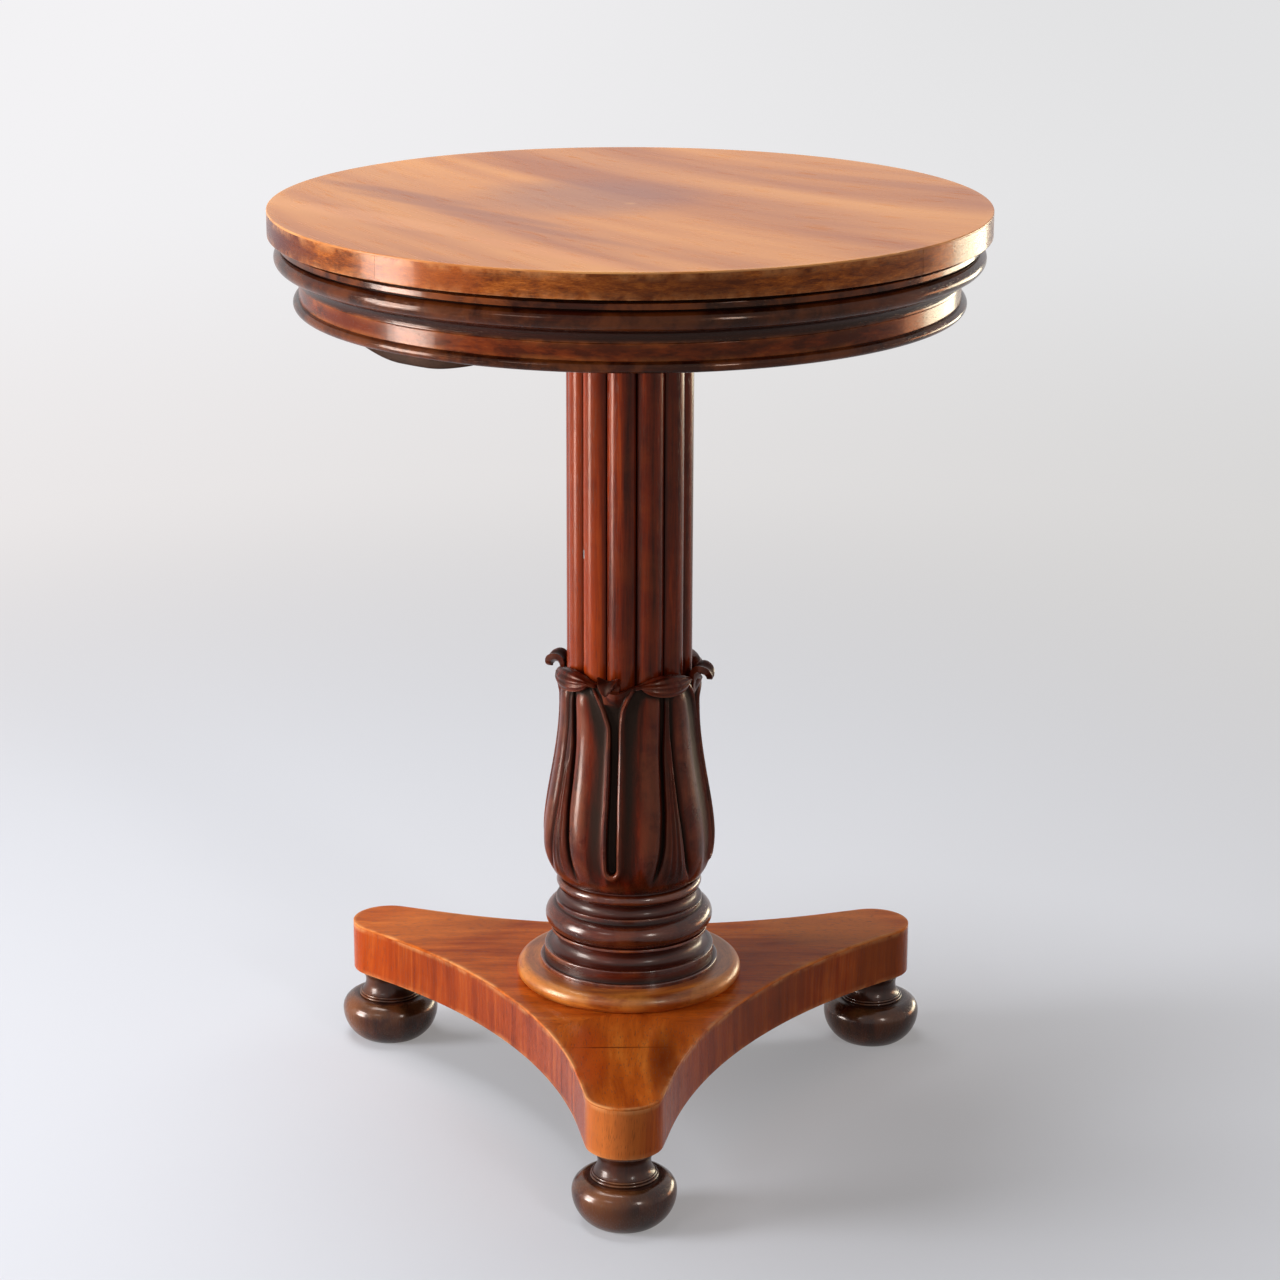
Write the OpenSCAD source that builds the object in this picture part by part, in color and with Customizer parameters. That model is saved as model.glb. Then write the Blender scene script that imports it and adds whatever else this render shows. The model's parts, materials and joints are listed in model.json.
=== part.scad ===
// Round three-tier telescopic table, shown closed: its top and two lower tiers lie on each other.
// Millimetres. The column's axis is the Z axis, the floor is Z = 0 and the base's front lobe points to -Y.

/* [Top] */
// Overall height with the tiers closed
table_h = 735; // [700:1:800]
// Radius of the top
top_r = 276.5; // [260:0.5:300]
// Thickness of the top board, with its veneer
top_t = 20; // [17:0.5:26]
// Thickness of the veneer on the top
top_veneer_t = 1.5; // [1:0.1:2]
// Thickness of the band round the top's edge
edge_band_t = 3; // [2:0.5:5]
// Number of lengths in the band round the top's edge
edge_band_n = 4; // [2:1:4]
// Angle of the band's first joint
edge_joint_turn = -40; // [-90:1:90]
// Height of the ring under the top that lies on the middle tier
rest_ring_h = 3.5; // [2:0.5:6]
// Width of the ring under the top
rest_ring_w = 18; // [10:1:30]
// Distance from the top's edge to the ring under it
rest_ring_inset = 21; // [18:1:40]

/* [Middle tier] */
// Thickness of the middle tier's board
middle_board_t = 21; // [18:0.5:26]
// How far the moulding's round stands in from the top's edge
moulding_inset = 4.5; // [1.5:0.5:10]
// Width of the moulding across the rim
moulding_w = 28; // [24:0.5:34]
// Height of the flat fillet at the top of the moulding
moulding_fillet_h = 4.6; // [3:0.1:6]
// How far the fillet stands in from the round
moulding_fillet_set = 4; // [1:0.5:7]
// Height of the quirk between the fillet and the round
moulding_quirk_h = 1; // [0.5:0.1:1.5]
// Depth of the quirk
moulding_quirk_d = 2.5; // [1:0.5:3]
// Height of the moulding's round
moulding_round_h = 14.4; // [12:0.2:16]
// Radius of the hollow below the round
moulding_cove_r = 10; // [7:0.5:11]
// Height of the moulding's lower lip
moulding_lip_h = 1.2; // [0.8:0.1:3]
// Width of the ledge that carries the middle tier's board
moulding_ledge_w = 6; // [3:0.5:10]

/* [Lower tier] */
// Thickness of the lower tier's board
lower_board_t = 20; // [18:0.5:26]
// How far the bead under the lower tier stands in from the top's edge
lower_inset = 18.5; // [15:0.5:26]
// Thickness of the band round the lower tier
lower_band_t = 3.5; // [2:0.5:4]
// Height of the band round the lower tier
lower_band_h = 12.8; // [11:0.2:14]
// Width of the bead under the band
lower_bead_w = 8; // [6:0.5:10]
// Height of the bead under the band
lower_bead_h = 8.2; // [6:0.2:9]

/* [Column] */
// Radius of the column over the reeds
column_r = 50; // [48:0.5:50.5]
// Depth of the crevices between the reeds
reed_depth = 5.5; // [3:0.5:7]
// Gap between neighbouring staves
stave_gap = 0.8; // [0.4:0.1:1.2]
// Radius of the post inside the staves
post_r = 30; // [27:0.5:32]
// Gap between a sliding stave and the post
slide_clear = 0.4; // [0.2:0.05:0.6]
// Depth of the dovetail tongue on a sliding stave
tongue_d = 4.5; // [3.5:0.5:5.5]
// Width of the tongue at its root
tongue_w = 6.4; // [5:0.2:8]
// Width of the tongue at its tail
tongue_tail_w = 8.4; // [7:0.2:9]
// Depth of the mortises that hold the staves
mortise_d = 12; // [8:0.5:14]
// Radius of the tenons at both ends of the post
tenon_r = 19; // [14:0.5:20]
// Clearance of glued pins, tenons and mortises
glue_clear = 0.1; // [0.05:0.05:0.2]
// Angle of the first reed from the front
reed_turn = -7.55; // [-15:0.05:15]

/* [Telescope] */
// Rise of each of the two upper tiers
stage_travel = 190; // [150:5:190]
// Gap under a closed tier
closed_gap = 0.3; // [0.2:0.1:0.5]
// Gap between the staves' lower ends and the vase's floor
stave_foot_gap = 0.6; // [0.4:0.1:1.5]
// Radius of the pins that stop the staves
stop_pin_r = 2; // [1.5:0.25:2]
// Height of the stop pins above the staves' lower ends
stop_pin_rise = 10; // [6:0.5:16]
// Length of a stop pin in its stave
stop_pin_bite = 14; // [10:0.5:16]
// Gap round a stop pin in its groove
stop_pin_play = 0.5; // [0.3:0.1:0.8]
// Length of a stop pin past the tongue
stop_pin_out = 2.6; // [2:0.2:3.4]

/* [Post wedges] */
// Length of the wedges in the post's ends
wedge_l = 18; // [12:1:24]
// Thickness of a wedge at its head
wedge_head_t = 4; // [3:0.2:6]
// Thickness of a wedge at its thin edge
wedge_tip_t = 1.2; // [0.8:0.2:2]

/* [Vase] */
// Height of the vase's foot above the floor
vase_bottom = 192.8; // [188:0.2:196]
// Height of the vase's widest place above its foot
vase_belly_up = 35.2; // [28:0.2:42]
// Height of the vase's waist above its foot
vase_waist_up = 148.2; // [140:0.2:156]
// Height of the leaf tips above the vase's foot
vase_tip_up = 171; // [165:0.5:178]
// Height of the vase's rim above its foot
vase_rim_up = 184; // [180:0.5:192]
// Radius of the vase's foot
vase_foot_r = 54; // [50:0.5:57]
// Largest radius of the vase
vase_belly_r = 68; // [62:0.5:75]
// Radius of the vase's waist
vase_waist_r = 54.8; // [54:0.2:58]
// Radius of the vase's rim
vase_rim_r = 53.4; // [53:0.2:57]
// How far the large leaves curl out at their tips
leaf_curl = 7; // [3:0.5:10]
// How far the small leaves' tips stand out
small_tip_out = 13; // [6:0.5:15]
// Depth of the channels between the large leaves
leaf_slot_d = 3; // [1:0.25:3.2]
// Depth of the valley along each large leaf
leaf_valley_d = 1.4; // [0.5:0.1:2]
// Angle of the first large leaf from the front
leaf_turn = 33.75; // [0:0.25:90]
// Height of the channels' lower ends above the vase's foot
slot_foot_up = 8; // [5:0.5:12]
// Height of the valleys' lower ends above the vase's foot
valley_foot_up = 10; // [5:0.5:15]
// Thickness of the vase's floor
vase_floor_t = 7; // [5:0.5:12]
// Clearance of the vase's bore round the staves
vase_bore_clear = 0.7; // [0.4:0.1:0.9]

/* [Socle] */
// Height of the round collar on the platform
collar_h = 15; // [11:0.5:20]
// Largest radius of the round collar
collar_r = 90.6; // [84:0.2:96]
// Height of the ring under the step
step_ring_h = 3.2; // [2:0.2:5]
// Radius of the ring under the step
step_ring_r = 71.8; // [70:0.2:76]
// Height of the step
step_h = 10; // [7:0.5:13]
// Radius of the step
step_r = 68.3; // [66:0.1:70]
// Height of the hollow above the step
scotia_h = 14.6; // [12:0.2:16]
// Radius of the narrowest place of the hollow
scotia_r = 57.6; // [55:0.2:60]
// Height of the fillet above the hollow
scotia_fillet_h = 1.6; // [1:0.1:3]
// Radius of the fillet above the hollow
scotia_fillet_r = 63.2; // [61:0.2:65]
// Height of the large round
socle_round_h = 19.8; // [16:0.2:22]
// Largest radius of the large round
socle_round_r = 67.3; // [66:0.1:70]
// Height of the fillet above the large round
neck_fillet_h = 4.2; // [3:0.1:5]
// Radius of the fillet above the large round
neck_fillet_r = 59; // [57:0.2:61]
// Radius of the narrowest place of the upper hollow
neck_cove_r = 53.2; // [51:0.2:54]
// How far the upper hollow stands in from its fillet
neck_cove_set = 2; // [1:0.2:3]
// Height of the bead under the vase
astragal_h = 8.4; // [6:0.2:10]
// Largest radius of the bead under the vase
astragal_r = 58.4; // [56:0.2:60]
// Height of the flat seat under the vase
vase_seat_h = 1.6; // [1:0.1:3]

/* [Platform] */
// Height of the platform's underside above the floor
platform_bottom = 62; // [56:1:70]
// Thickness of the platform
platform_t = 42; // [36:0.5:48]
// Radius of the circle through the lobes' centres
lobe_circle_r = 236.5; // [225:0.5:238]
// Radius of a lobe's round end
lobe_r = 30; // [26:0.5:34]
// Distance from the axis to the middle of a hollow side
side_inner_r = 108; // [100:1:120]
// Radius of the hollow sides
side_r = 500; // [440:5:600]
// Thickness of the platform's veneers
platform_veneer_t = 2; // [1.2:0.1:3]
// Angle from a lobe's axis to the joint on its left
lobe_joint_left = 82; // [70:1:84]
// Angle from a lobe's axis to the joint on its right
lobe_joint_right = 62; // [50:1:80]

/* [Feet] */
// Largest radius of a foot
foot_r = 40; // [34:0.5:40]
// Radius of the flat base of a foot
foot_base_r = 25.6; // [24:0.2:32]
// Height of a foot's widest place
foot_wide_up = 25; // [18:0.5:28]
// Height of the bun below its ring
foot_bun_h = 37; // [34:0.5:42]
// Height of the ring on a foot
foot_ring_h = 4; // [3:0.5:5]
// Radius of the ring on a foot
foot_ring_r = 26; // [25:0.2:29]
// Radius of a foot's neck
foot_neck_r = 20.4; // [18:0.2:22]
// Height of the fillet under the platform
foot_fillet_h = 4; // [2:0.5:5]
// Radius of the fillet under the platform
foot_fillet_r = 24.4; // [23:0.2:27]
// Radius of the pin that holds a foot
foot_pin_r = 9; // [6:0.5:12]
// Length of the pin that holds a foot
foot_pin_l = 24; // [15:1:32]

/* [Lower catch] */
// Travel of a catch
catch_travel = 10; // [6:0.5:12]
// Width of the lower catch's bar
bar_w = 16; // [12:1:18]
// Width of the prong at the bar's inner end
prong_w = 3.2; // [2.4:0.2:4]
// Thickness of the lower catch's bar
bar_t = 6; // [5:0.5:8]
// Gap above and beside a catch's bar
bar_clear = 0.5; // [0.3:0.1:0.8]
// How far the grip stands out past the lower tier's board
grip_proud = 1; // [0:0.5:3]
// Width of the grip across the rim
grip_w = 13; // [9:0.5:16]
// Depth of the grip below the lower tier
grip_h = 8.5; // [7:0.5:11]
// Angle between the ends of the grip
grip_angle = 24; // [22:1:30]
// Length of the slope at each end of the grip
grip_slope = 40; // [34:1:44]
// Thickness of the grip at its ends
grip_end_t = 1; // [0.75:0.25:2]
// Distance from the axis to the inner cleat
cleat_in = 90; // [80:1:110]
// Distance from the axis to the outer cleat
cleat_out = 196; // [180:1:210]
// Length of a cleat across the bar
cleat_l = 52; // [46:1:60]
// Width of a cleat along the bar
cleat_w = 14; // [10:1:18]
// Thickness of the cleat's bridge under the bar
cleat_t = 4; // [3:0.5:6]
// Radius of a screw's shank
screw_r = 1.6; // [1.2:0.1:2]
// Radius of a screw's head
screw_head_r = 3.4; // [3:0.1:4]
// Height of a screw's head
screw_head_h = 1.6; // [1:0.1:2]
// Width of the slot in a screw's head
screw_slot_w = 0.8; // [0.6:0.1:1.2]
// Depth of the slot in a screw's head
screw_slot_d = 0.7; // [0.4:0.1:0.9]
// Length of a screw's shank in the board
screw_bite = 10; // [6:0.5:14]

/* [Upper catch] */
// Width of the upper catch's bar
bolt_w = 12; // [10:0.5:14]
// Gap between the upper catch's bolt and the column when it is drawn out
bolt_rest_gap = 0.8; // [0.6:0.1:1.5]
// How far the bolt's shoulder stops short of the column
bolt_shoulder = 2; // [1:0.5:4]
// How much narrower the bolt's nose is than its bar
bolt_step = 2; // [1:0.5:3]
// Thickness of the upper catch's bar
bolt_t = 3; // [2:0.5:3.5]
// Outer end of the upper catch's bar from the axis
bolt_outer = 132; // [110:1:160]
// Distance from the axis to the inner keeper
keeper_in = 68; // [64:1:76]
// Distance from the axis to the outer keeper
keeper_out = 104; // [96:1:112]
// Length of a keeper across the bar
keeper_l = 30; // [24:1:40]
// Width of a keeper along the bar
keeper_w = 8; // [6:0.5:10]
// Thickness of a keeper's bridge
keeper_t = 1.6; // [1.2:0.1:2]
// Radius of the thumb button
button_r = 5; // [4:0.25:6]
// Height of the thumb button
button_h = 2.2; // [1.5:0.1:2.6]
// Distance from the bar's outer end to the middle of the thumb button
button_inset = 7; // [6:0.5:10]

/* [Hidden] */
$fn = 96;
reed_n = 12;
reed_pitch = 360 / reed_n;
first_reed = -90 + reed_turn;
TOP = 0;
FIXED = 1;
MIDDLE = 2;
eps = 0.01;
// How far a cut runs past the face that it opens
over = 1;
// Radii of the tiers, which follow the top
moulding_round_r = top_r - moulding_inset;
moulding_fillet_r = moulding_round_r - moulding_fillet_set;
middle_board_r = moulding_round_r - moulding_w;
lower_bead_r = top_r - lower_inset;
lower_board_r = lower_bead_r - lower_bead_w;
grip_r = lower_board_r + grip_proud;
// How far a turned round or bead runs into its neighbour
bite = 0.2;
// How far the platform's straight flanks run into the hollow sides and the lobes
flank_bite = 0.1;
// Levels, from the top down
veneer_bottom = table_h - top_veneer_t;
top_bottom = table_h - top_t;
middle_top = top_bottom - rest_ring_h - closed_gap;
middle_board_bottom = middle_top - middle_board_t;
moulding_round_top = middle_top - moulding_fillet_h - moulding_quirk_h;
moulding_round_bottom = moulding_round_top - moulding_round_h;
moulding_bottom = moulding_round_bottom + bite - moulding_cove_r - moulding_lip_h;
lower_top = moulding_bottom - closed_gap;
lower_bottom = lower_top - lower_board_t;
lower_band_bottom = lower_top - lower_band_h;
lower_bead_bottom = lower_band_bottom - lower_bead_h;
// Levels, from the floor up
platform_top = platform_bottom + platform_t;
collar_top = platform_top + collar_h;
step_bottom = collar_top + step_ring_h;
step_top = step_bottom + step_h;
scotia_top = step_top + scotia_h;
round_bottom = scotia_top + scotia_fillet_h;
round_top = round_bottom + socle_round_h;
neck_top = round_top + neck_fillet_h;
socle_top = vase_bottom;
astragal_bottom = socle_top - vase_seat_h - astragal_h;
stave_bottom = vase_bottom + vase_floor_t + stave_foot_gap;
stop_level = stave_bottom + stop_pin_rise;
// Radii and half angles that follow from others
crevice_r = column_r - reed_depth;
half_chord = crevice_r * sin(reed_pitch / 2);
reed_rise = column_r - crevice_r * cos(reed_pitch / 2);
reed_r = (half_chord * half_chord + reed_rise * reed_rise) / (2 * reed_rise);
slide_r = post_r + slide_clear;
tail_r = post_r - tongue_d;
way_r = tail_r - slide_clear;
bore_r = column_r + vase_bore_clear;
catch_level = lower_bottom - bar_clear - bar_t / 2;
bolt_level = middle_board_bottom - bar_clear - bolt_t / 2;
bolt_nose_w = bolt_w - bolt_step;
lower_catch_az = first_reed + 11 * reed_pitch;
upper_catch_az = first_reed + 6 * reed_pitch;
// The prong's far side stays clear of the fixed stave across the crevice when it is pushed in
prong_rest_x = column_r - bolt_rest_gap;
prong_end_x = prong_rest_x - catch_travel;
prong_side = prong_end_x * tan(reed_pitch / 2) - eps;
bar_side = prong_side + bar_clear;
cleat_h = bar_t + 2 * bar_clear + cleat_t;
cleat_y = bar_w / 2 - bar_side;
screw_offset = (cleat_l + bar_w + 2 * bar_clear) / 4;

// Shared shapes

module turned() {
    rotate_extrude(angle = 360) children();
}

// A rectangle in a turned profile, from radius r0 to r1 and level z0 to z1
module band(r0, r1, z0, z1) {
    translate([r0, z0]) square([r1 - r0, z1 - z0]);
}

module slab(z0, z1) {
    translate([0, 0, z0]) linear_extrude(z1 - z0) children();
}

// A plane wedge of the given half angle about +X, its sides drawn in by a gap
module wedge(half, gap, reach) {
    back = gap / sin(half);
    polygon([
        [back, 0],
        [reach, (reach - back) * tan(half)],
        [reach, -(reach - back) * tan(half)]
    ]);
}

// The section of one stave about +X, from an inner radius out to its reed
module stave_outline(inner, gap) {
    difference() {
        intersection() {
            wedge(reed_pitch / 2, gap, 2 * column_r);
            union() {
                circle(r = crevice_r);
                translate([column_r - reed_r, 0]) circle(r = reed_r);
            }
        }
        circle(r = inner);
    }
}

module tongue_outline(clear) {
    polygon([
        [slide_r + over, tongue_w / 2 + clear],
        [tail_r - clear, tongue_tail_w / 2 + clear],
        [tail_r - clear, -tongue_tail_w / 2 - clear],
        [slide_r + over, -tongue_w / 2 - clear]
    ]);
}

function reed_az(kind, n) = first_reed + (kind + 3 * n) * reed_pitch;

// The telescoping column

module sliding_stave(kind, n, top_z, pocket_level) {
    rotate(reed_az(kind, n)) difference() {
        union() {
            slab(stave_bottom, top_z) stave_outline(slide_r, stave_gap / 2);
            // The tongue stops under the board
            slab(stave_bottom, top_z - mortise_d) tongue_outline(0);
        }
        if (n == 0) stop_pin_hole();
        if (pocket_level > 0) for (drop = [0, stage_travel]) translate([0, 0, pocket_level - drop])
            if (kind == MIDDLE) prong_pocket(); else bolt_pocket();
    }
}

module stop_pin_hole() {
    translate([tail_r - over, 0, stop_level]) rotate([0, 90, 0])
        cylinder(r = stop_pin_r, h = stop_pin_bite + over);
}

module stop_pin(kind) {
    rotate(reed_az(kind, 0)) translate([tail_r - stop_pin_out, 0, stop_level])
        rotate([0, 90, 0]) cylinder(r = stop_pin_r, h = stop_pin_out + stop_pin_bite);
}

// The pocket for the lower catch's prong opens into the crevice beside the stave
module prong_pocket() {
    high = bar_t + 2 * bar_clear;
    deep = prong_rest_x - catch_travel - bar_clear;
    translate([deep, -prong_side - bar_clear, -high / 2])
        cube([column_r - deep, prong_w + 2 * bar_clear, high]);
}

module bolt_pocket() {
    wide = bolt_nose_w + 2 * bar_clear;
    high = bolt_t + 2 * bar_clear;
    deep = column_r + bolt_rest_gap - catch_travel - bar_clear;
    translate([deep, -wide / 2, -high / 2]) cube([column_r - deep + over, wide, high]);
}

module fixed_stave(n) {
    color([0.36, 0.13, 0.06]) rotate(reed_az(FIXED, n))
        slab(stave_bottom, lower_bottom + mortise_d) stave_outline(post_r, stave_gap / 2);
}

module middle_stave(n) {
    color([0.42, 0.16, 0.07])
        sliding_stave(MIDDLE, n, middle_board_bottom + mortise_d, n == 3 ? catch_level : 0);
}

module top_stave(n) {
    color([0.38, 0.14, 0.06])
        sliding_stave(TOP, n, top_bottom + mortise_d, n == 2 ? bolt_level : 0);
}

module column_post() {
    color([0.45, 0.22, 0.10]) difference() {
        union() {
            slab(platform_bottom, lower_top) circle(r = tenon_r);
            slab(platform_top, lower_bottom) circle(r = post_r);
        }
        for (kind = [TOP, MIDDLE], n = [0 : 3]) rotate(reed_az(kind, n))
            slab(stave_bottom - stave_foot_gap, lower_bottom + over) tongue_outline(slide_clear);
        for (kind = [TOP, MIDDLE]) rotate(reed_az(kind, 0)) stop_slot(kind == TOP ? 2 : 1);
        post_wedge(platform_bottom, 1);
        post_wedge(lower_top, -1);
    }
}

// The groove that a stop pin runs in, as long as the stages below it can rise
module stop_slot(stages) {
    wide = 2 * (stop_pin_r + stop_pin_play);
    deep = tail_r - stop_pin_out - stop_pin_play;
    bottom = stop_level - wide / 2;
    translate([deep, -wide / 2, bottom])
        cube([tongue_d + stop_pin_out, wide, stages * stage_travel + wide]);
}

// A wedge driven into the post's end, thin edge first
module post_wedge(end, way) {
    head = wedge_head_t / 2;
    tip = wedge_tip_t / 2;
    translate([0, tenon_r, end]) rotate([90, 0, 0]) linear_extrude(2 * tenon_r)
        polygon([[-head, 0], [head, 0], [tip, way * wedge_l], [-tip, way * wedge_l]]);
}

module fitted_wedge(end, way) {
    color([0.62, 0.42, 0.22]) intersection() {
        post_wedge(end, way);
        translate([0, 0, end - wedge_l - over]) cylinder(r = tenon_r, h = 2 * (wedge_l + over));
    }
}

// The tiers

// The way that sliding staves take through a board: one stave wide or two
module stave_way(first, count) {
    centre = first + (count - 1) * reed_pitch / 2;
    rotate(centre) difference() {
        intersection() {
            wedge(count * reed_pitch / 2, stave_gap / 2 - slide_clear, 2 * column_r);
            circle(r = bore_r);
        }
        circle(r = way_r);
    }
}

// The blind hole in a board's underside that a sliding stave is glued into
module stave_mortise(underside) {
    slab(underside - over, underside + mortise_d)
        stave_outline(slide_r - glue_clear, stave_gap / 2 - glue_clear);
}

module lower_tier_board() {
    color([0.40, 0.17, 0.08]) difference() {
        slab(lower_bottom, lower_top) circle(r = lower_board_r, $fn = 180);
        for (n = [0 : 3]) slab(lower_bottom - over, lower_top + over) stave_way(reed_az(MIDDLE, n), 2);
        for (n = [0 : 3]) rotate(reed_az(FIXED, n)) slab(lower_bottom - over, lower_bottom + mortise_d)
            stave_outline(post_r, stave_gap / 2 - glue_clear);
        slab(lower_bottom - over, lower_top + over) circle(r = tenon_r);
        cleat_screw_holes();
    }
}

module lower_tier_band() {
    color([0.55, 0.24, 0.11]) turned()
        band(lower_board_r, lower_board_r + lower_band_t, lower_band_bottom, lower_top);
}

module lower_tier_bead() {
    r = lower_bead_h / 2;
    color([0.45, 0.18, 0.08]) turned() difference() {
        union() {
            band(lower_board_r, lower_bead_r - r, lower_bead_bottom, lower_band_bottom);
            translate([lower_bead_r - r, lower_bead_bottom + r]) circle(r = r);
        }
        band(lower_board_r - r, lower_board_r, lower_bead_bottom, lower_band_bottom);
    }
}

module middle_tier_board() {
    color([0.40, 0.17, 0.08]) difference() {
        slab(middle_board_bottom, middle_top) circle(r = middle_board_r, $fn = 180);
        for (n = [0 : 3]) slab(middle_board_bottom - over, middle_top + over) stave_way(reed_az(TOP, n), 1);
        for (n = [0 : 3]) rotate(reed_az(MIDDLE, n)) stave_mortise(middle_board_bottom);
    }
}

module middle_tier_moulding() {
    r = moulding_round_h / 2;
    cove_top = moulding_round_bottom + bite;
    lip_top = moulding_bottom + moulding_lip_h;
    outer = moulding_round_r - r;
    ledge_r = middle_board_r - moulding_ledge_w;
    quirk_r = moulding_fillet_r - moulding_quirk_d;
    color([0.36, 0.13, 0.07]) turned() difference() {
        union() {
            band(middle_board_r, moulding_fillet_r, middle_top - moulding_fillet_h, middle_top);
            band(middle_board_r, quirk_r, cove_top, middle_top - moulding_fillet_h);
            translate([outer, moulding_round_bottom + r]) circle(r = r);
            band(ledge_r, outer, moulding_bottom, cove_top);
            band(ledge_r, middle_board_r, moulding_bottom, middle_board_bottom);
        }
        translate([outer, lip_top]) circle(r = moulding_cove_r);
        band(outer - moulding_cove_r, moulding_round_r, moulding_bottom - over, lip_top);
        band(ledge_r - over, middle_board_r, middle_board_bottom, middle_top + over);
    }
}

module top_board() {
    color([0.50, 0.24, 0.12]) difference() {
        slab(top_bottom, veneer_bottom) circle(r = top_r - edge_band_t, $fn = 180);
        for (n = [0 : 3]) rotate(reed_az(TOP, n)) stave_mortise(top_bottom);
    }
}

module top_veneer() {
    arris = top_veneer_t / 2;
    color([0.62, 0.33, 0.17]) turned() {
        band(0, top_r - arris, veneer_bottom, table_h);
        band(0, top_r, veneer_bottom, table_h - arris);
        translate([top_r - arris, table_h - arris]) circle(r = arris);
    }
}

module top_rest_ring() {
    outer = top_r - rest_ring_inset;
    color([0.30, 0.11, 0.06]) turned()
        band(outer - rest_ring_w, outer, top_bottom - rest_ring_h, top_bottom);
}

module top_edge_band(n) {
    step = 360 / edge_band_n;
    color([0.58, 0.27, 0.12]) rotate(n * step + edge_joint_turn)
        rotate_extrude(angle = step) band(top_r - edge_band_t, top_r, top_bottom, veneer_bottom);
}

// The vase, carved with four large leaves and four small ones between them

// Half a turn of a cosine, from 0 at a to 1 at b
function ramp(x, a, b) = x <= a ? 0 : x >= b ? 1 : (1 - cos(180 * (x - a) / (b - a))) / 2;
// A smooth hump of half width w round the middle m
function hump(x, m, w) = abs(x - m) >= w ? 0 : (1 + cos(180 * (x - m) / w)) / 2;
// Angle from the nearest of the four axes that start at a0
function from_axis(a, a0) = let (d = (a - a0) - 90 * floor((a - a0) / 90)) d > 45 ? d - 90 : d;

function vase_profile(up) =
    up < vase_belly_up
    ? vase_foot_r + (vase_belly_r - vase_foot_r)
        * sqrt(1 - pow((vase_belly_up - up) / (vase_belly_up + 0.3), 2))
    : up < vase_waist_up
    ? vase_waist_r + (vase_belly_r - vase_waist_r)
        * (1 + cos(180 * pow((up - vase_belly_up) / (vase_waist_up - vase_belly_up), 0.85))) / 2
    : vase_waist_r + (vase_rim_r - vase_waist_r) * ramp(up, vase_waist_up, vase_rim_up);

// The carving's angles are half widths in degrees round each leaf's axis
slot_angle = 6;
slot_swell = 5;
valley_angle = 7;
curl_angle = 24;
tip_angle = 13;
// Heights over which the carving starts, swells and fades
carving_start = vase_belly_up / 4;
slot_swell_up = slot_foot_up + carving_start;
curl_reach = vase_rim_up - vase_tip_up;
curl_up = vase_tip_up - carving_start;

function vase_radius(a, up) =
    let (
        leaf = from_axis(a, leaf_turn - 90),
        small = from_axis(a, leaf_turn - 45),
        slot_half = slot_angle + slot_swell * hump(up, slot_swell_up, 3 * carving_start),
        slot_end = 1 - ramp(up, vase_waist_up - carving_start / 2, vase_tip_up - carving_start),
        slot = leaf_slot_d * hump(small, 0, slot_half) * ramp(up, slot_foot_up, slot_swell_up) * slot_end,
        valley = leaf_valley_d * hump(leaf, 0, valley_angle)
            * ramp(up, valley_foot_up, valley_foot_up + 2 * carving_start),
        curl = leaf_curl * hump(leaf, 0, curl_angle) * hump(up, curl_up, curl_reach),
        tip = small_tip_out * hump(small, 0, tip_angle) * hump(up, vase_tip_up, curl_reach)
    )
    vase_profile(up) - slot - valley + curl + tip;

around = 72;
levels = 27;
belly_levels = 9;

// Share of the vase's height at level i: the belly takes the first third of the levels
function level_share(i) =
    i <= belly_levels ? 0.4 * i / belly_levels : 0.4 + 0.6 * (i - belly_levels) / (levels - belly_levels);

module vase_solid() {
    ups = [for (i = [0 : levels]) vase_rim_up * level_share(i)];
    last = len(ups) - 1;
    points = concat(
        [for (up = ups, j = [0 : around - 1])
            let (a = 360 * j / around, r = vase_radius(a, up)) [r * cos(a), r * sin(a), vase_bottom + up]],
        [[0, 0, vase_bottom], [0, 0, vase_bottom + ups[last]]]
    );
    function at(i, j) = i * around + (j % around);
    faces = concat(
        [for (i = [0 : last - 1], j = [0 : around - 1]) [at(i, j), at(i + 1, j), at(i + 1, j + 1)]],
        [for (i = [0 : last - 1], j = [0 : around - 1]) [at(i, j), at(i + 1, j + 1), at(i, j + 1)]],
        [for (j = [0 : around - 1]) [len(points) - 2, at(0, j), at(0, j + 1)]],
        [for (j = [0 : around - 1]) [len(points) - 1, at(last, j + 1), at(last, j)]]
    );
    polyhedron(points = points, faces = faces, convexity = 6);
}

module lotus_vase() {
    color([0.38, 0.15, 0.07]) difference() {
        vase_solid();
        translate([0, 0, vase_bottom + vase_floor_t]) cylinder(r = bore_r, h = vase_rim_up);
        translate([0, 0, vase_bottom - over]) cylinder(r = post_r + glue_clear, h = vase_rim_up);
    }
}

// The turned socle

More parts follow.
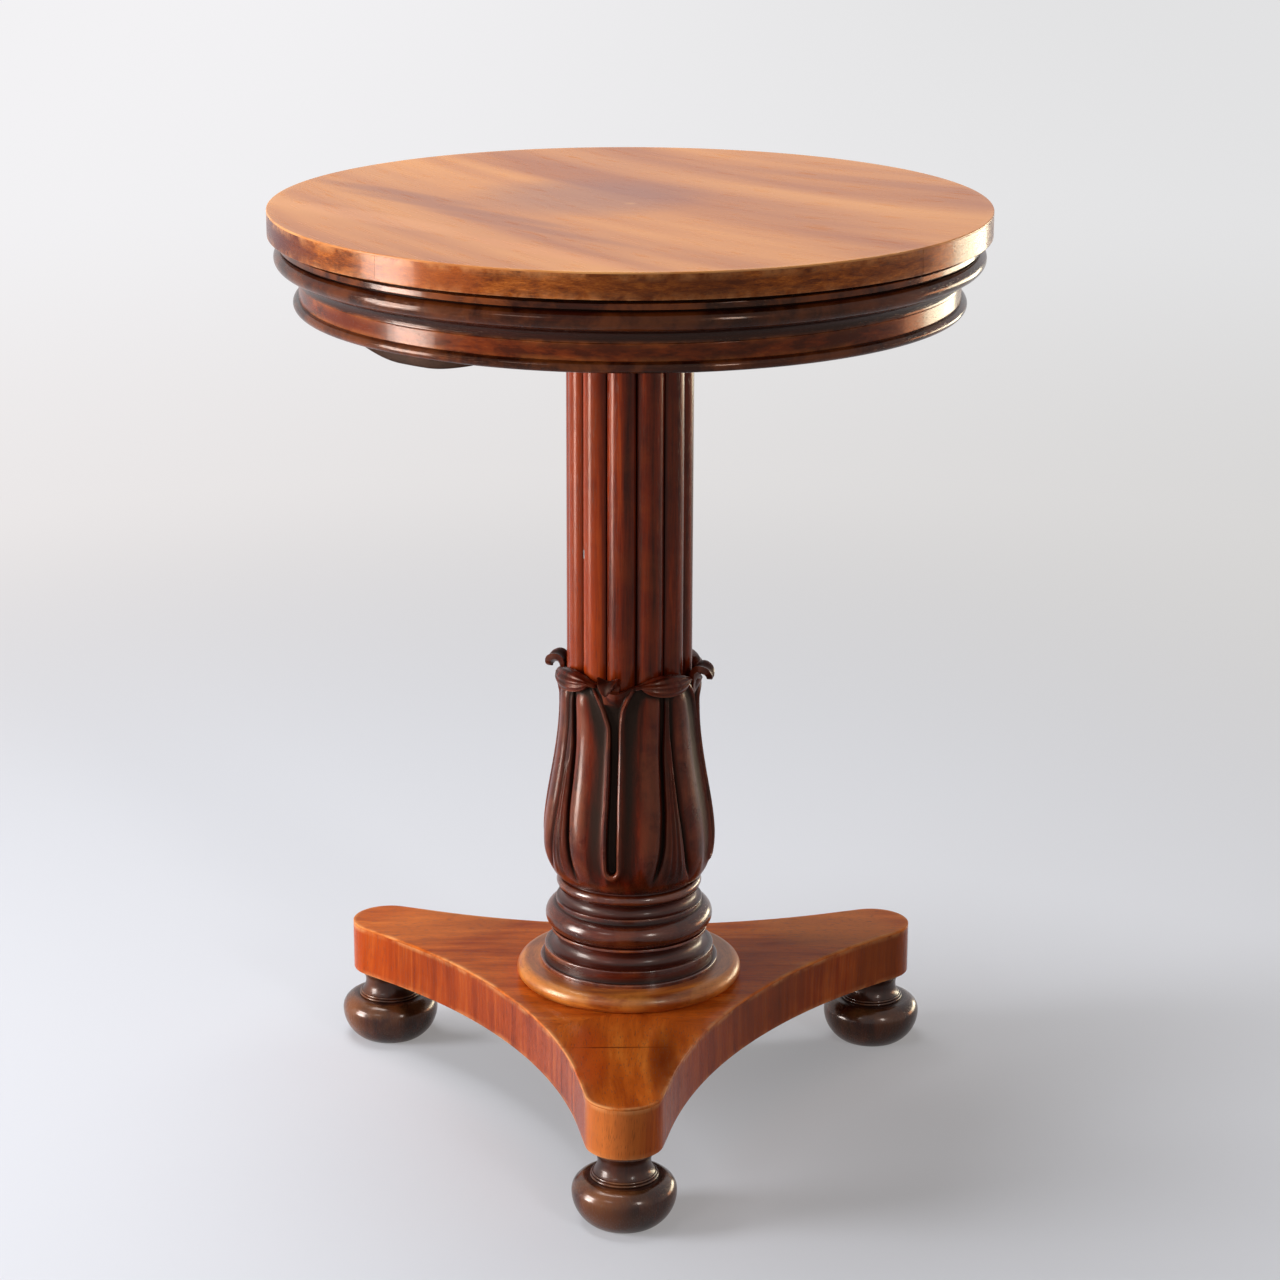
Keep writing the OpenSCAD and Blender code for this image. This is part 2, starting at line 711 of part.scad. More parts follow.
module socle() {
    scotia_half = scotia_h / 2;
    cove_half = (astragal_bottom - neck_top) / 2;
    // The hollow's arc starts and ends in the fillet and the bead
    cove_deep = neck_fillet_r - neck_cove_set - neck_cove_r;
    cove_r = (cove_deep * cove_deep + cove_half * cove_half) / (2 * cove_deep);
    round_half = socle_round_h / 2;
    bead_half = astragal_h / 2;
    color([0.30, 0.10, 0.05]) turned() difference() {
        union() {
            band(0, step_ring_r, collar_top, step_bottom);
            band(0, step_r, step_bottom, step_top);
            band(0, scotia_fillet_r, step_top, round_bottom);
            band(0, socle_round_r - round_half, round_bottom, round_top);
            translate([socle_round_r - round_half, round_bottom + round_half]) circle(r = round_half);
            band(0, neck_fillet_r, round_top, neck_top);
            band(0, neck_fillet_r - neck_cove_set, neck_top, astragal_bottom + over);
            band(0, astragal_r - bead_half, astragal_bottom, socle_top);
            translate([astragal_r - bead_half, astragal_bottom + bead_half]) circle(r = bead_half);
        }
        translate([scotia_r + scotia_half, step_top + scotia_half]) circle(r = scotia_half);
        band(scotia_r + scotia_half, step_r, step_top + eps, scotia_top);
        translate([neck_cove_r + cove_r, neck_top + cove_half]) circle(r = cove_r);
        band(-over, post_r + glue_clear, collar_top - over, socle_top + over);
    }
}

module base_collar() {
    half = collar_h / 2;
    color([0.55, 0.27, 0.12]) turned() difference() {
        union() {
            band(0, collar_r - half, platform_top, collar_top);
            translate([collar_r - half, platform_top + half]) circle(r = half);
        }
        band(-over, post_r + glue_clear, platform_top - over, collar_top + over);
    }
}

// The platform with its three lobes

// Outline of the platform, drawn in by a distance. A side's hollow that stays clear
// of a lobe's circle runs straight onto it, and bites slightly into both
module platform_outline(inset) {
    middle = (side_inner_r + side_r) * [cos(60), sin(60)];
    apart = norm(middle - [lobe_circle_r, 0]);
    side_reach = side_r - flank_bite;
    lobe_reach = lobe_r - flank_bite;
    a = atan2(middle[1], middle[0] - lobe_circle_r) - acos(min(1, (side_reach + lobe_reach) / apart));
    side_point = middle - (side_reach + inset) * [cos(a), sin(a)];
    lobe_point = [lobe_circle_r, 0] + (lobe_reach - inset) * [cos(a), sin(a)];
    arm = apart > side_r + lobe_r
        ? [[side_point[0], -side_point[1]], [lobe_point[0], -lobe_point[1]], lobe_point, side_point, middle]
        : [[lobe_circle_r, 0], middle];
    difference() {
        polygon([for (i = [0 : 2], p = arm) let (t = -90 + 120 * i)
            [p[0] * cos(t) - p[1] * sin(t), p[0] * sin(t) + p[1] * cos(t)]]);
        for (i = [0 : 2]) rotate(-30 + 120 * i) translate([side_inner_r + side_r, 0])
            circle(r = side_r + inset, $fn = 360);
    }
    for (i = [0 : 2]) rotate(-90 + 120 * i) translate([lobe_circle_r, 0]) circle(r = lobe_r - inset);
}

// The part of the plane round a lobe's end between its two joints
module lobe_end(i) {
    rotate(-90 + 120 * i) translate([lobe_circle_r, 0]) polygon(concat(
        [[0, 0]],
        [for (a = [-lobe_joint_left, -30, 30, lobe_joint_right]) 3 * lobe_r * [cos(a), sin(a)]]
    ));
}

module platform_core() {
    color([0.42, 0.24, 0.13]) difference() {
        slab(platform_bottom, platform_top - platform_veneer_t) platform_outline(platform_veneer_t);
        slab(platform_bottom - over, platform_top) circle(r = tenon_r);
        for (i = [0 : 2]) rotate(-90 + 120 * i) translate([lobe_circle_r, 0, platform_bottom - over])
            cylinder(r = foot_pin_r + glue_clear, h = foot_pin_l + over + glue_clear);
    }
}

module platform_top_veneer() {
    color([0.66, 0.32, 0.16]) difference() {
        slab(platform_top - platform_veneer_t, platform_top) platform_outline(0);
        slab(platform_bottom, platform_top + over) circle(r = tenon_r);
    }
}

module edge_strip() {
    slab(platform_bottom, platform_top - platform_veneer_t) difference() {
        platform_outline(0);
        platform_outline(platform_veneer_t);
    }
}

// Side i lies between lobe i and the next one
module platform_side_veneer(i) {
    far = 2 * (lobe_circle_r + lobe_r);
    color([0.60, 0.25, 0.11]) difference() {
        intersection() {
            edge_strip();
            rotate(-90 + 120 * i) slab(platform_bottom - over, platform_top + over)
                polygon([[0, 0], [far, 0], [far, far], [-far * sin(30), far * cos(30)]]);
        }
        for (k = [0 : 2]) slab(platform_bottom - over, platform_top + over) lobe_end(k);
    }
}

module platform_lobe_veneer(i) {
    color([0.50, 0.20, 0.09]) intersection() {
        edge_strip();
        slab(platform_bottom - over, platform_top + over) lobe_end(i);
    }
}

// Bun foot: a flattened round on a flat base, a ring, a hollow neck and a fillet
module foot(i) {
    ring_top = foot_bun_h + foot_ring_h;
    fillet_bottom = platform_bottom - foot_fillet_h;
    neck_half = (fillet_bottom - ring_top) / 2;
    neck_edge = min(foot_ring_r - foot_ring_h / 2, foot_fillet_r);
    neck_deep = neck_edge - foot_neck_r;
    neck_hollow_r = (neck_deep * neck_deep + neck_half * neck_half) / (2 * neck_deep);
    lower_r = (pow(foot_r - foot_base_r, 2) + pow(foot_wide_up, 2)) / (2 * (foot_r - foot_base_r));
    upper_half = foot_bun_h - foot_wide_up;
    color([0.16, 0.07, 0.04]) rotate(-90 + 120 * i) translate([lobe_circle_r, 0, 0]) {
        turned() {
            // Below the widest place, an arc that starts on the base's edge
            intersection() {
                translate([foot_r - lower_r, foot_wide_up]) circle(r = lower_r);
                band(0, foot_r, 0, foot_wide_up);
            }
            // Above it, a quarter round on a core
            intersection() {
                translate([foot_r - upper_half, foot_wide_up]) circle(r = upper_half);
                band(0, foot_r, foot_wide_up, foot_bun_h);
            }
            band(0, foot_r - upper_half, foot_wide_up, foot_bun_h);
            band(0, foot_ring_r - foot_ring_h / 2, foot_bun_h, ring_top);
            translate([foot_ring_r - foot_ring_h / 2, foot_bun_h + foot_ring_h / 2])
                circle(r = foot_ring_h / 2);
            difference() {
                band(0, neck_edge, ring_top, fillet_bottom);
                translate([foot_neck_r + neck_hollow_r, ring_top + neck_half]) circle(r = neck_hollow_r);
            }
            band(0, foot_fillet_r, fillet_bottom, platform_bottom);
        }
        translate([0, 0, platform_bottom]) cylinder(r = foot_pin_r, h = foot_pin_l);
    }
}

// The catch under the lower tier

// Across the bar, Y runs from the prong's side to the other
module lower_catch_bar() {
    body_x = column_r + bolt_rest_gap + catch_travel;
    color([0.45, 0.25, 0.13]) rotate(lower_catch_az) translate([0, 0, catch_level - bar_t / 2]) {
        translate([prong_rest_x, -prong_side, 0]) cube([body_x - prong_rest_x + over, prong_w, bar_t]);
        translate([body_x, -bar_side, 0]) cube([grip_r - grip_w - body_x, bar_w, bar_t]);
    }
}

// A curved grip, whose underside bends up towards both ends
module lower_catch_grip() {
    half = grip_angle / 2;
    inner = grip_r - grip_w;
    top = min(lower_bottom, lower_bead_bottom) - bar_clear;
    low = lower_bottom - grip_h;
    end = (grip_r - grip_w / 2) * sin(half);
    blunt = top - grip_end_t;
    // Points of the underside, from one end to the other
    under = [for (k = [-12 : 12]) let (share = abs(k) / 12)
        [blunt - (blunt - low) * cos(90 * share), sign(k) * (end - grip_slope * (1 - share))]];
    color([0.28, 0.11, 0.06]) rotate(lower_catch_az) intersection() {
        slab(low, top) difference() {
            circle(r = grip_r, $fn = 180);
            circle(r = inner, $fn = 180);
        }
        translate([2 * grip_r, 0, 0]) rotate([0, -90, 0]) linear_extrude(2 * grip_r)
            polygon(concat([[top + over, -end]], under, [[top + over, end]]));
    }
}

// A cleat bridges the bar and is screwed up into the board on both sides of it
module cleat(r) {
    inside = bar_w + 2 * bar_clear;
    color([0.45, 0.25, 0.13]) rotate(lower_catch_az)
        translate([r, cleat_y, lower_bottom - cleat_h]) difference() {
            translate([-cleat_w / 2, -cleat_l / 2, 0]) cube([cleat_w, cleat_l, cleat_h]);
            translate([-cleat_w, -inside / 2, cleat_t]) cube([2 * cleat_w, inside, cleat_h]);
            for (side = [-1, 1]) translate([0, side * screw_offset, -over]) {
                cylinder(r = screw_r, h = cleat_h + 2 * over);
                cylinder(r = screw_head_r, h = screw_head_h + over);
            }
        }
}

module cleat_screw(r, side) {
    color([0.70, 0.58, 0.30]) rotate(lower_catch_az)
        translate([r, cleat_y + side * screw_offset, lower_bottom - cleat_h]) {
        difference() {
            cylinder(r = screw_head_r, h = screw_head_h);
            translate([-screw_head_r, -screw_slot_w / 2, -over])
                cube([2 * screw_head_r, screw_slot_w, screw_slot_d + over]);
        }
        translate([0, 0, screw_head_h]) cylinder(r = screw_r, h = cleat_h - screw_head_h + screw_bite);
    }
}

module cleat_screw_holes() {
    for (r = [cleat_in, cleat_out], side = [-1, 1]) rotate(lower_catch_az)
        translate([r, cleat_y + side * screw_offset, lower_bottom - over])
            cylinder(r = screw_r, h = screw_bite + over);
}

// The catch under the middle tier

module upper_catch_bolt() {
    tip = column_r + bolt_rest_gap;
    body_x = tip + catch_travel + bolt_shoulder;
    color([0.78, 0.62, 0.30]) rotate(upper_catch_az) translate([0, 0, bolt_level - bolt_t / 2]) {
        translate([tip, -bolt_nose_w / 2, 0]) cube([body_x - tip + over, bolt_nose_w, bolt_t]);
        translate([body_x, -bolt_w / 2, 0]) cube([bolt_outer - body_x, bolt_w, bolt_t]);
    }
}

module upper_catch_button() {
    color([0.80, 0.66, 0.34]) rotate(upper_catch_az)
        translate([bolt_outer - button_inset, 0, bolt_level - bolt_t / 2 - button_h])
            cylinder(r = button_r, h = button_h);
}

module keeper(r) {
    height = bolt_t + 2 * bar_clear + keeper_t;
    inside = bolt_w + 2 * bar_clear;
    color([0.76, 0.60, 0.28]) rotate(upper_catch_az) difference() {
        translate([r - keeper_w / 2, -keeper_l / 2, middle_board_bottom - height])
            cube([keeper_w, keeper_l, height]);
        translate([r - keeper_w, -inside / 2, middle_board_bottom - height + keeper_t])
            cube([2 * keeper_w, inside, height]);
    }
}

platform_core();
platform_top_veneer();
platform_side_veneer(0);  // platform_side_veneer_1
platform_side_veneer(1);  // platform_side_veneer_2
platform_side_veneer(2);  // platform_side_veneer_3
platform_lobe_veneer(0);  // platform_lobe_veneer_1
platform_lobe_veneer(1);  // platform_lobe_veneer_2
platform_lobe_veneer(2);  // platform_lobe_veneer_3
foot(0);  // foot_front
foot(1);  // foot_right
foot(2);  // foot_left
base_collar();
socle();
lotus_vase();
column_post();
fitted_wedge(platform_bottom, 1);  // post_wedge_bottom
fitted_wedge(lower_top, -1);  // post_wedge_top
fixed_stave(0);  // fixed_stave_1
fixed_stave(1);  // fixed_stave_2
fixed_stave(2);  // fixed_stave_3
fixed_stave(3);  // fixed_stave_4
middle_stave(0);  // middle_stave_1
middle_stave(1);  // middle_stave_2
middle_stave(2);  // middle_stave_3
middle_stave(3);  // middle_stave_4
top_stave(0);  // top_stave_1
top_stave(1);  // top_stave_2
top_stave(2);  // top_stave_3
top_stave(3);  // top_stave_4
color([0.7, 0.56, 0.3]) stop_pin(MIDDLE);  // stop_pin_middle
color([0.7, 0.56, 0.3]) stop_pin(TOP);  // stop_pin_top
lower_tier_board();
lower_tier_band();
lower_tier_bead();
middle_tier_board();
middle_tier_moulding();
top_board();
top_veneer();
top_rest_ring();
top_edge_band(0);  // top_edge_band_1
top_edge_band(1);  // top_edge_band_2
top_edge_band(2);  // top_edge_band_3
top_edge_band(3);  // top_edge_band_4
lower_catch_bar();
lower_catch_grip();
cleat(cleat_in);  // lower_catch_cleat_inner
cleat(cleat_out);  // lower_catch_cleat_outer
cleat_screw(cleat_in, -1);  // cleat_screw_1
cleat_screw(cleat_in, 1);  // cleat_screw_2
cleat_screw(cleat_out, -1);  // cleat_screw_3
cleat_screw(cleat_out, 1);  // cleat_screw_4
upper_catch_bolt();
upper_catch_button();
keeper(keeper_in);  // upper_catch_keeper_inner
keeper(keeper_out);  // upper_catch_keeper_outer
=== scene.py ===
import json
import math
import bmesh
import bpy
import numpy as np
from mathutils import Matrix, Vector


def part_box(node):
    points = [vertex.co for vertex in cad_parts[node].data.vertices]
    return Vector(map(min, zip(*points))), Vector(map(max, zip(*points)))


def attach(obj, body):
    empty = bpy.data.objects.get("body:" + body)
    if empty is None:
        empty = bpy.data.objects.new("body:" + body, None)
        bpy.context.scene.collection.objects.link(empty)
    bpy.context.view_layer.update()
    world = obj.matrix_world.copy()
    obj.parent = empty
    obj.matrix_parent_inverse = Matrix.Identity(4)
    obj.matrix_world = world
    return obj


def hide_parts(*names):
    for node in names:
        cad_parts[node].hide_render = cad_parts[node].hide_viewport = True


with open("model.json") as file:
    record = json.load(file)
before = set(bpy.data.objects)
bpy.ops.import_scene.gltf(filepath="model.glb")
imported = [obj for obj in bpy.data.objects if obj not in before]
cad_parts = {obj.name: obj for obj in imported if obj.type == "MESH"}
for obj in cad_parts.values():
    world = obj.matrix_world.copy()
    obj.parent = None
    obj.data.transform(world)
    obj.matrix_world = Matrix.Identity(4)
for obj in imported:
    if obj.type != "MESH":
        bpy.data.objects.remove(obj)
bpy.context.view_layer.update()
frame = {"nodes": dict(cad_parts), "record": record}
nodes = frame["nodes"]
slots = {part["node"]: part["material_slot"] for part in frame["record"]["subparts"]}
bodyOf = {node: body for body, moved in frame["record"]["behaviour"]["bodies"].items() for node in moved}
scene = bpy.context.scene
scene.view_settings.view_transform = "Standard"
mm = 0.001
print("frame loaded,", len(nodes), "solids")


# Lengths are in millimetres. Levels and radii come from the solids, so the scene follows them.
def levels(node):
    low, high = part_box(node)
    return low.z / mm, high.z / mm


def reach(node):
    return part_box(node)[1].x / mm


# A piece that stands for one solid has its name: top_rest_ring gives topRestRing
def pieceName(node):
    first, *rest = node.split("_")
    return first + "".join(word.capitalize() for word in rest)


# The camera stands where the photograph was taken, looking down on the table
camera = {"lens": 99.07, "sensor": 36.0, "place": (0.0349, -2.6675, 1.1946), "heading": 90.57, "down": 16.84,
          "roll": 0.166}


def makeCamera(look):
    heading, down, roll = (math.radians(look[k]) for k in ("heading", "down", "roll"))
    ahead = Vector((math.cos(down) * math.cos(heading), math.cos(down) * math.sin(heading), -math.sin(down)))
    right = Vector((math.sin(heading), -math.cos(heading), 0.0))
    upward = right.cross(ahead)
    across = right * math.cos(roll) + upward * math.sin(roll)
    upright = upward * math.cos(roll) - right * math.sin(roll)
    data = bpy.data.cameras.new("tableCamera")
    data.lens, data.sensor_width, data.sensor_fit = look["lens"], look["sensor"], "HORIZONTAL"
    data.dof.use_dof = False
    data.clip_start, data.clip_end = 0.05, 200.0
    made = bpy.data.objects.new("tableCamera", data)
    scene.collection.objects.link(made)
    made.matrix_world = Matrix.Translation(look["place"]) @ Matrix((across, upright, -ahead)).transposed().to_4x4()
    scene.camera = made


makeCamera(camera)
print("camera placed")


# A socket of a node tree. Sums and products of wires add their Math nodes.
class Wire:
    def __init__(self, tree, socket=None):
        self.tree, self.socket = tree, socket

    def pick(self, sockets, key):
        if isinstance(key, int):
            return sockets[key]
        return [s for s in sockets if s.name == key and s.enabled][0]

    # Any node: its type, its settings, the values or wires of its sockets, and the output that is wanted
    def node(self, kind, settings=None, sockets=None, out=0):
        made = self.tree.nodes.new(kind)
        for name, value in (settings or {}).items():
            if name == "stops":
                made.color_ramp.elements.remove(made.color_ramp.elements[1])
                for n, (place, tone) in enumerate(value):
                    stop = made.color_ramp.elements.new(place) if n else made.color_ramp.elements[0]
                    stop.position, stop.color = place, tone
            else:
                setattr(made, name, value)
        for name, value in (sockets or {}).items():
            socket = self.pick(made.inputs, name)
            for part in value if isinstance(value, list) else [value]:
                if isinstance(part, Wire):
                    self.tree.links.new(part.socket, socket)
                else:
                    socket.default_value = part
        return Wire(self.tree, self.pick(made.outputs, out)) if len(made.outputs) else None

    def math(self, operation, *values):
        return self.node("ShaderNodeMath", {"operation": operation}, dict(enumerate(values)))

    def __add__(self, other):
        return self.math("ADD", self, other)

    def __sub__(self, other):
        return self.math("SUBTRACT", self, other)

    def __rsub__(self, other):
        return self.math("SUBTRACT", other, self)

    def __mul__(self, other):
        return self.math("MULTIPLY", self, other)

    def __truediv__(self, other):
        return self.math("DIVIDE", self, other)

    def __rtruediv__(self, other):
        return self.math("DIVIDE", other, self)

    __radd__, __rmul__ = __add__, __mul__

    def least(self, other):
        return self.math("MINIMUM", self, other)

    def most(self, other):
        return self.math("MAXIMUM", self, other)

    # 0 below the start, 1 above the end, smooth between them
    def rise(self, start, end):
        return self.node("ShaderNodeMapRange", {"interpolation_type": "SMOOTHSTEP"},
                         {"Value": self, "From Min": start, "From Max": end})

    def vector(self, operation, other):
        return self.node("ShaderNodeVectorMath", {"operation": operation}, {0: self, 1: other})

    def noise(self, scale, detail=2.0, rough=0.5, bend=0.0, out=0):
        return self.node("ShaderNodeTexNoise", None, {
            "Vector": self, "Scale": scale, "Detail": detail, "Roughness": rough, "Distortion": bend}, out)

    # Two colours mixed by this factor
    def mix(self, first, second):
        return self.node("ShaderNodeMix", {"data_type": "RGBA", "clamp_factor": True},
                         {"Factor": self, "A": first, "B": second}, "Result")

    # A vector's x, y and z, and a vector made of three values
    def parts(self):
        return [self.node("ShaderNodeSeparateXYZ", None, {"Vector": self}, k) for k in range(3)]

    def gather(self, *values):
        return self.node("ShaderNodeCombineXYZ", None, dict(enumerate(values)))


# A colour as it looks on screen, 0 to 255, for a node
def tone(red, green, blue):
    def linear(v):
        v /= 255
        return v / 12.92 if v <= 0.04045 else ((v + 0.055) / 1.055) ** 2.4
    return (linear(red), linear(green), linear(blue), 1.0)


def newMaterial(name):
    made = bpy.data.materials.new(name)
    made.use_nodes = True
    made.node_tree.nodes.clear()
    return made, Wire(made.node_tree)


# Polished mahogany, and what it has where a finish says nothing else. "grain" is how many streaks fit in a metre
# along x, y and z or, where "round" is set, round the axis, out from it and up. "flow" bends the streaks across a
# board and "lobes" turns them on the side arms. "tones" are the figure's colours from dark to light, and "ribbon",
# "fibre" and "cloud" the shares of its coarse, fine and broad parts. Crests turn "worn", and hollows turn "dark"
# with dirt and painted shade. Colours are 0 to 255 as on screen, places and sizes are in metres.
mahoganyWood = {
    "spread": (0.37, 0.63), "ribbon": 0.55, "detail": 4.0, "bend": 0.4, "fibre": 0.2, "fibreScale": 5.0,
    "cloud": 0.25, "cloudScale": 7.0, "sway": 0.01, "swayScale": 6.0, "pores": 0.45, "poreScale": 17.0,
    "poreRise": (0.6, 0.72), "smokeRise": (0.44, 0.66), "marks": [], "ragged": 1.6, "wear": 0.8,
    "wearRise": (0.36, 0.66), "dirt": 0.9, "patchScale": 28.0, "smudge": 0.12, "cloudDull": 0.12, "poreDull": 0.12,
    "dirtDull": 0.4, "bump": 0.35, "bumpDeep": 0.0006, "fibreHigh": 0.18, "poreDeep": 0.7, "patchHigh": 0.35,
    "ior": 1.45, "specular": 0.3, "gloss": (1.0, 0.5, 0.3), "coat": 0.1, "coatRough": 0.12, "polish": 0.0}


def mahogany(name, own):
    look = {**mahoganyWood, **own}
    made, w = newMaterial(name)
    place = w.node("ShaderNodeTexCoord", None, None, "Object")
    along = place
    if "round" in look:
        x, y, z = place.parts()
        about = w.math("ARCTAN2", x, 0.0 - y)  # its seam lies at the back
        along = w.gather(about * look["round"], w.math("SQRT", x * x + y * y), z)
    if "flow" in look:
        x, y, z = place.parts()
        lean, slope, bend = look["flow"]
        along = w.gather(y * lean + x * slope + x * x * bend, x * lean - y * slope, z)
    if "lobes" in look:
        # The front arm's veneer runs from front to back, the others' from side to side
        x, y, z = place.parts()
        slant, start, end = look["lobes"]
        front = (w.math("ABSOLUTE", x) * slant + y).rise(start, end)
        along = w.gather(front * x + (1.0 - front) * y, front * y + (1.0 - front) * x, z)
    sway = place.noise(look["swayScale"], 2.0, 0.5, 0.0, "Color").vector("SUBTRACT", (0.5, 0.5, 0.5))
    along = along.vector("ADD", sway.vector("MULTIPLY", (look["sway"],) * 3))
    streaks = along.vector("MULTIPLY", look["grain"])
    ribbon = streaks.noise(1.0, look["detail"], 0.55, look["bend"])
    fibre = streaks.noise(look["fibreScale"], 3.0, 0.6)
    pores = streaks.noise(look["poreScale"], 1.0).rise(*look["poreRise"])
    filled = pores * look["pores"]
    cloud = place.noise(look["cloudScale"], 3.0, 0.55, 0.5)
    figure = ribbon * look["ribbon"] + fibre * look["fibre"] + cloud * look["cloud"]
    first, last = look["spread"]
    step = (last - first) / (len(look["tones"]) - 1)
    stops = [(first + n * step, tone(*shade)) for n, shade in enumerate(look["tones"])]
    colour = w.node("ShaderNodeValToRGB", {"stops": stops}, {"Fac": figure}, "Color")
    if "smoke" in look:
        # Long dull patches in the polish
        patches = along.vector("MULTIPLY", look["smokeScale"]).noise(1.6, 2.0, 0.5)
        colour = (patches.rise(*look["smokeRise"]) * look["smoky"]).mix(colour, tone(*look["smoke"]))
    # Single soft marks, each at a place in plan, with its half length and half width, its turn and its strength
    for middleX, middleY, long, wide, turn, strength, shade in look["marks"]:
        x, y, z = place.parts()
        x, y = x - middleX, y - middleY
        c, s = math.cos(math.radians(turn)), math.sin(math.radians(turn))
        u, v = x * (c / long) + y * (s / long), y * (c / wide) - x * (s / wide)
        near = 1 - (u * u + v * v + (cloud - 0.5) * look["ragged"]).rise(0.0, 1.0)
        colour = (near * strength).mix(colour, tone(*shade))
    colour = filled.mix(colour, tone(*look["pore"]))
    # Worn arrises and crests; dirt and painted shade darken the hollows
    proud = w.node("ShaderNodeAttribute", {"attribute_name": "proud"}, None, "Fac")
    patch = place.noise(look["patchScale"], 4.0, 0.65, 0.3)
    worn = (proud.most(0.0) * look["wear"] * patch.rise(*look["wearRise"])).least(1.0)
    dirt = ((0.0 - proud).most(0.0) * look["dirt"]).least(1.0)
    colour = dirt.mix(worn.mix(colour, tone(*look["worn"])), tone(*look["dark"]))
    rough = look["rough"] + (cloud - 0.5) * look["cloudDull"] + pores * look["poreDull"] + dirt * look["dirtDull"]
    rough = (rough + (patch - 0.5) * look["smudge"]).most(0.05).least(0.95)
    height = fibre * look["fibreHigh"] - filled * look["poreDeep"] + patch * look["patchHigh"]
    bump = w.node("ShaderNodeBump", None, {"Strength": look["bump"], "Distance": look["bumpDeep"], "Height": height})
    coat = (proud.most(0.0) * look["polish"] + look["coat"]).least(1.0) if look["polish"] else look["coat"]
    shader = w.node("ShaderNodeBsdfPrincipled", None, {
        "Base Color": colour, "Roughness": rough, "Normal": bump, "IOR": look["ior"],
        "Specular IOR Level": look["specular"], "Specular Tint": (*look["gloss"], 1.0),
        "Coat Weight": coat, "Coat Roughness": look["coatRough"], "Coat IOR": 1.5})
    w.node("ShaderNodeOutputMaterial", None, {"Surface": shader})
    return made


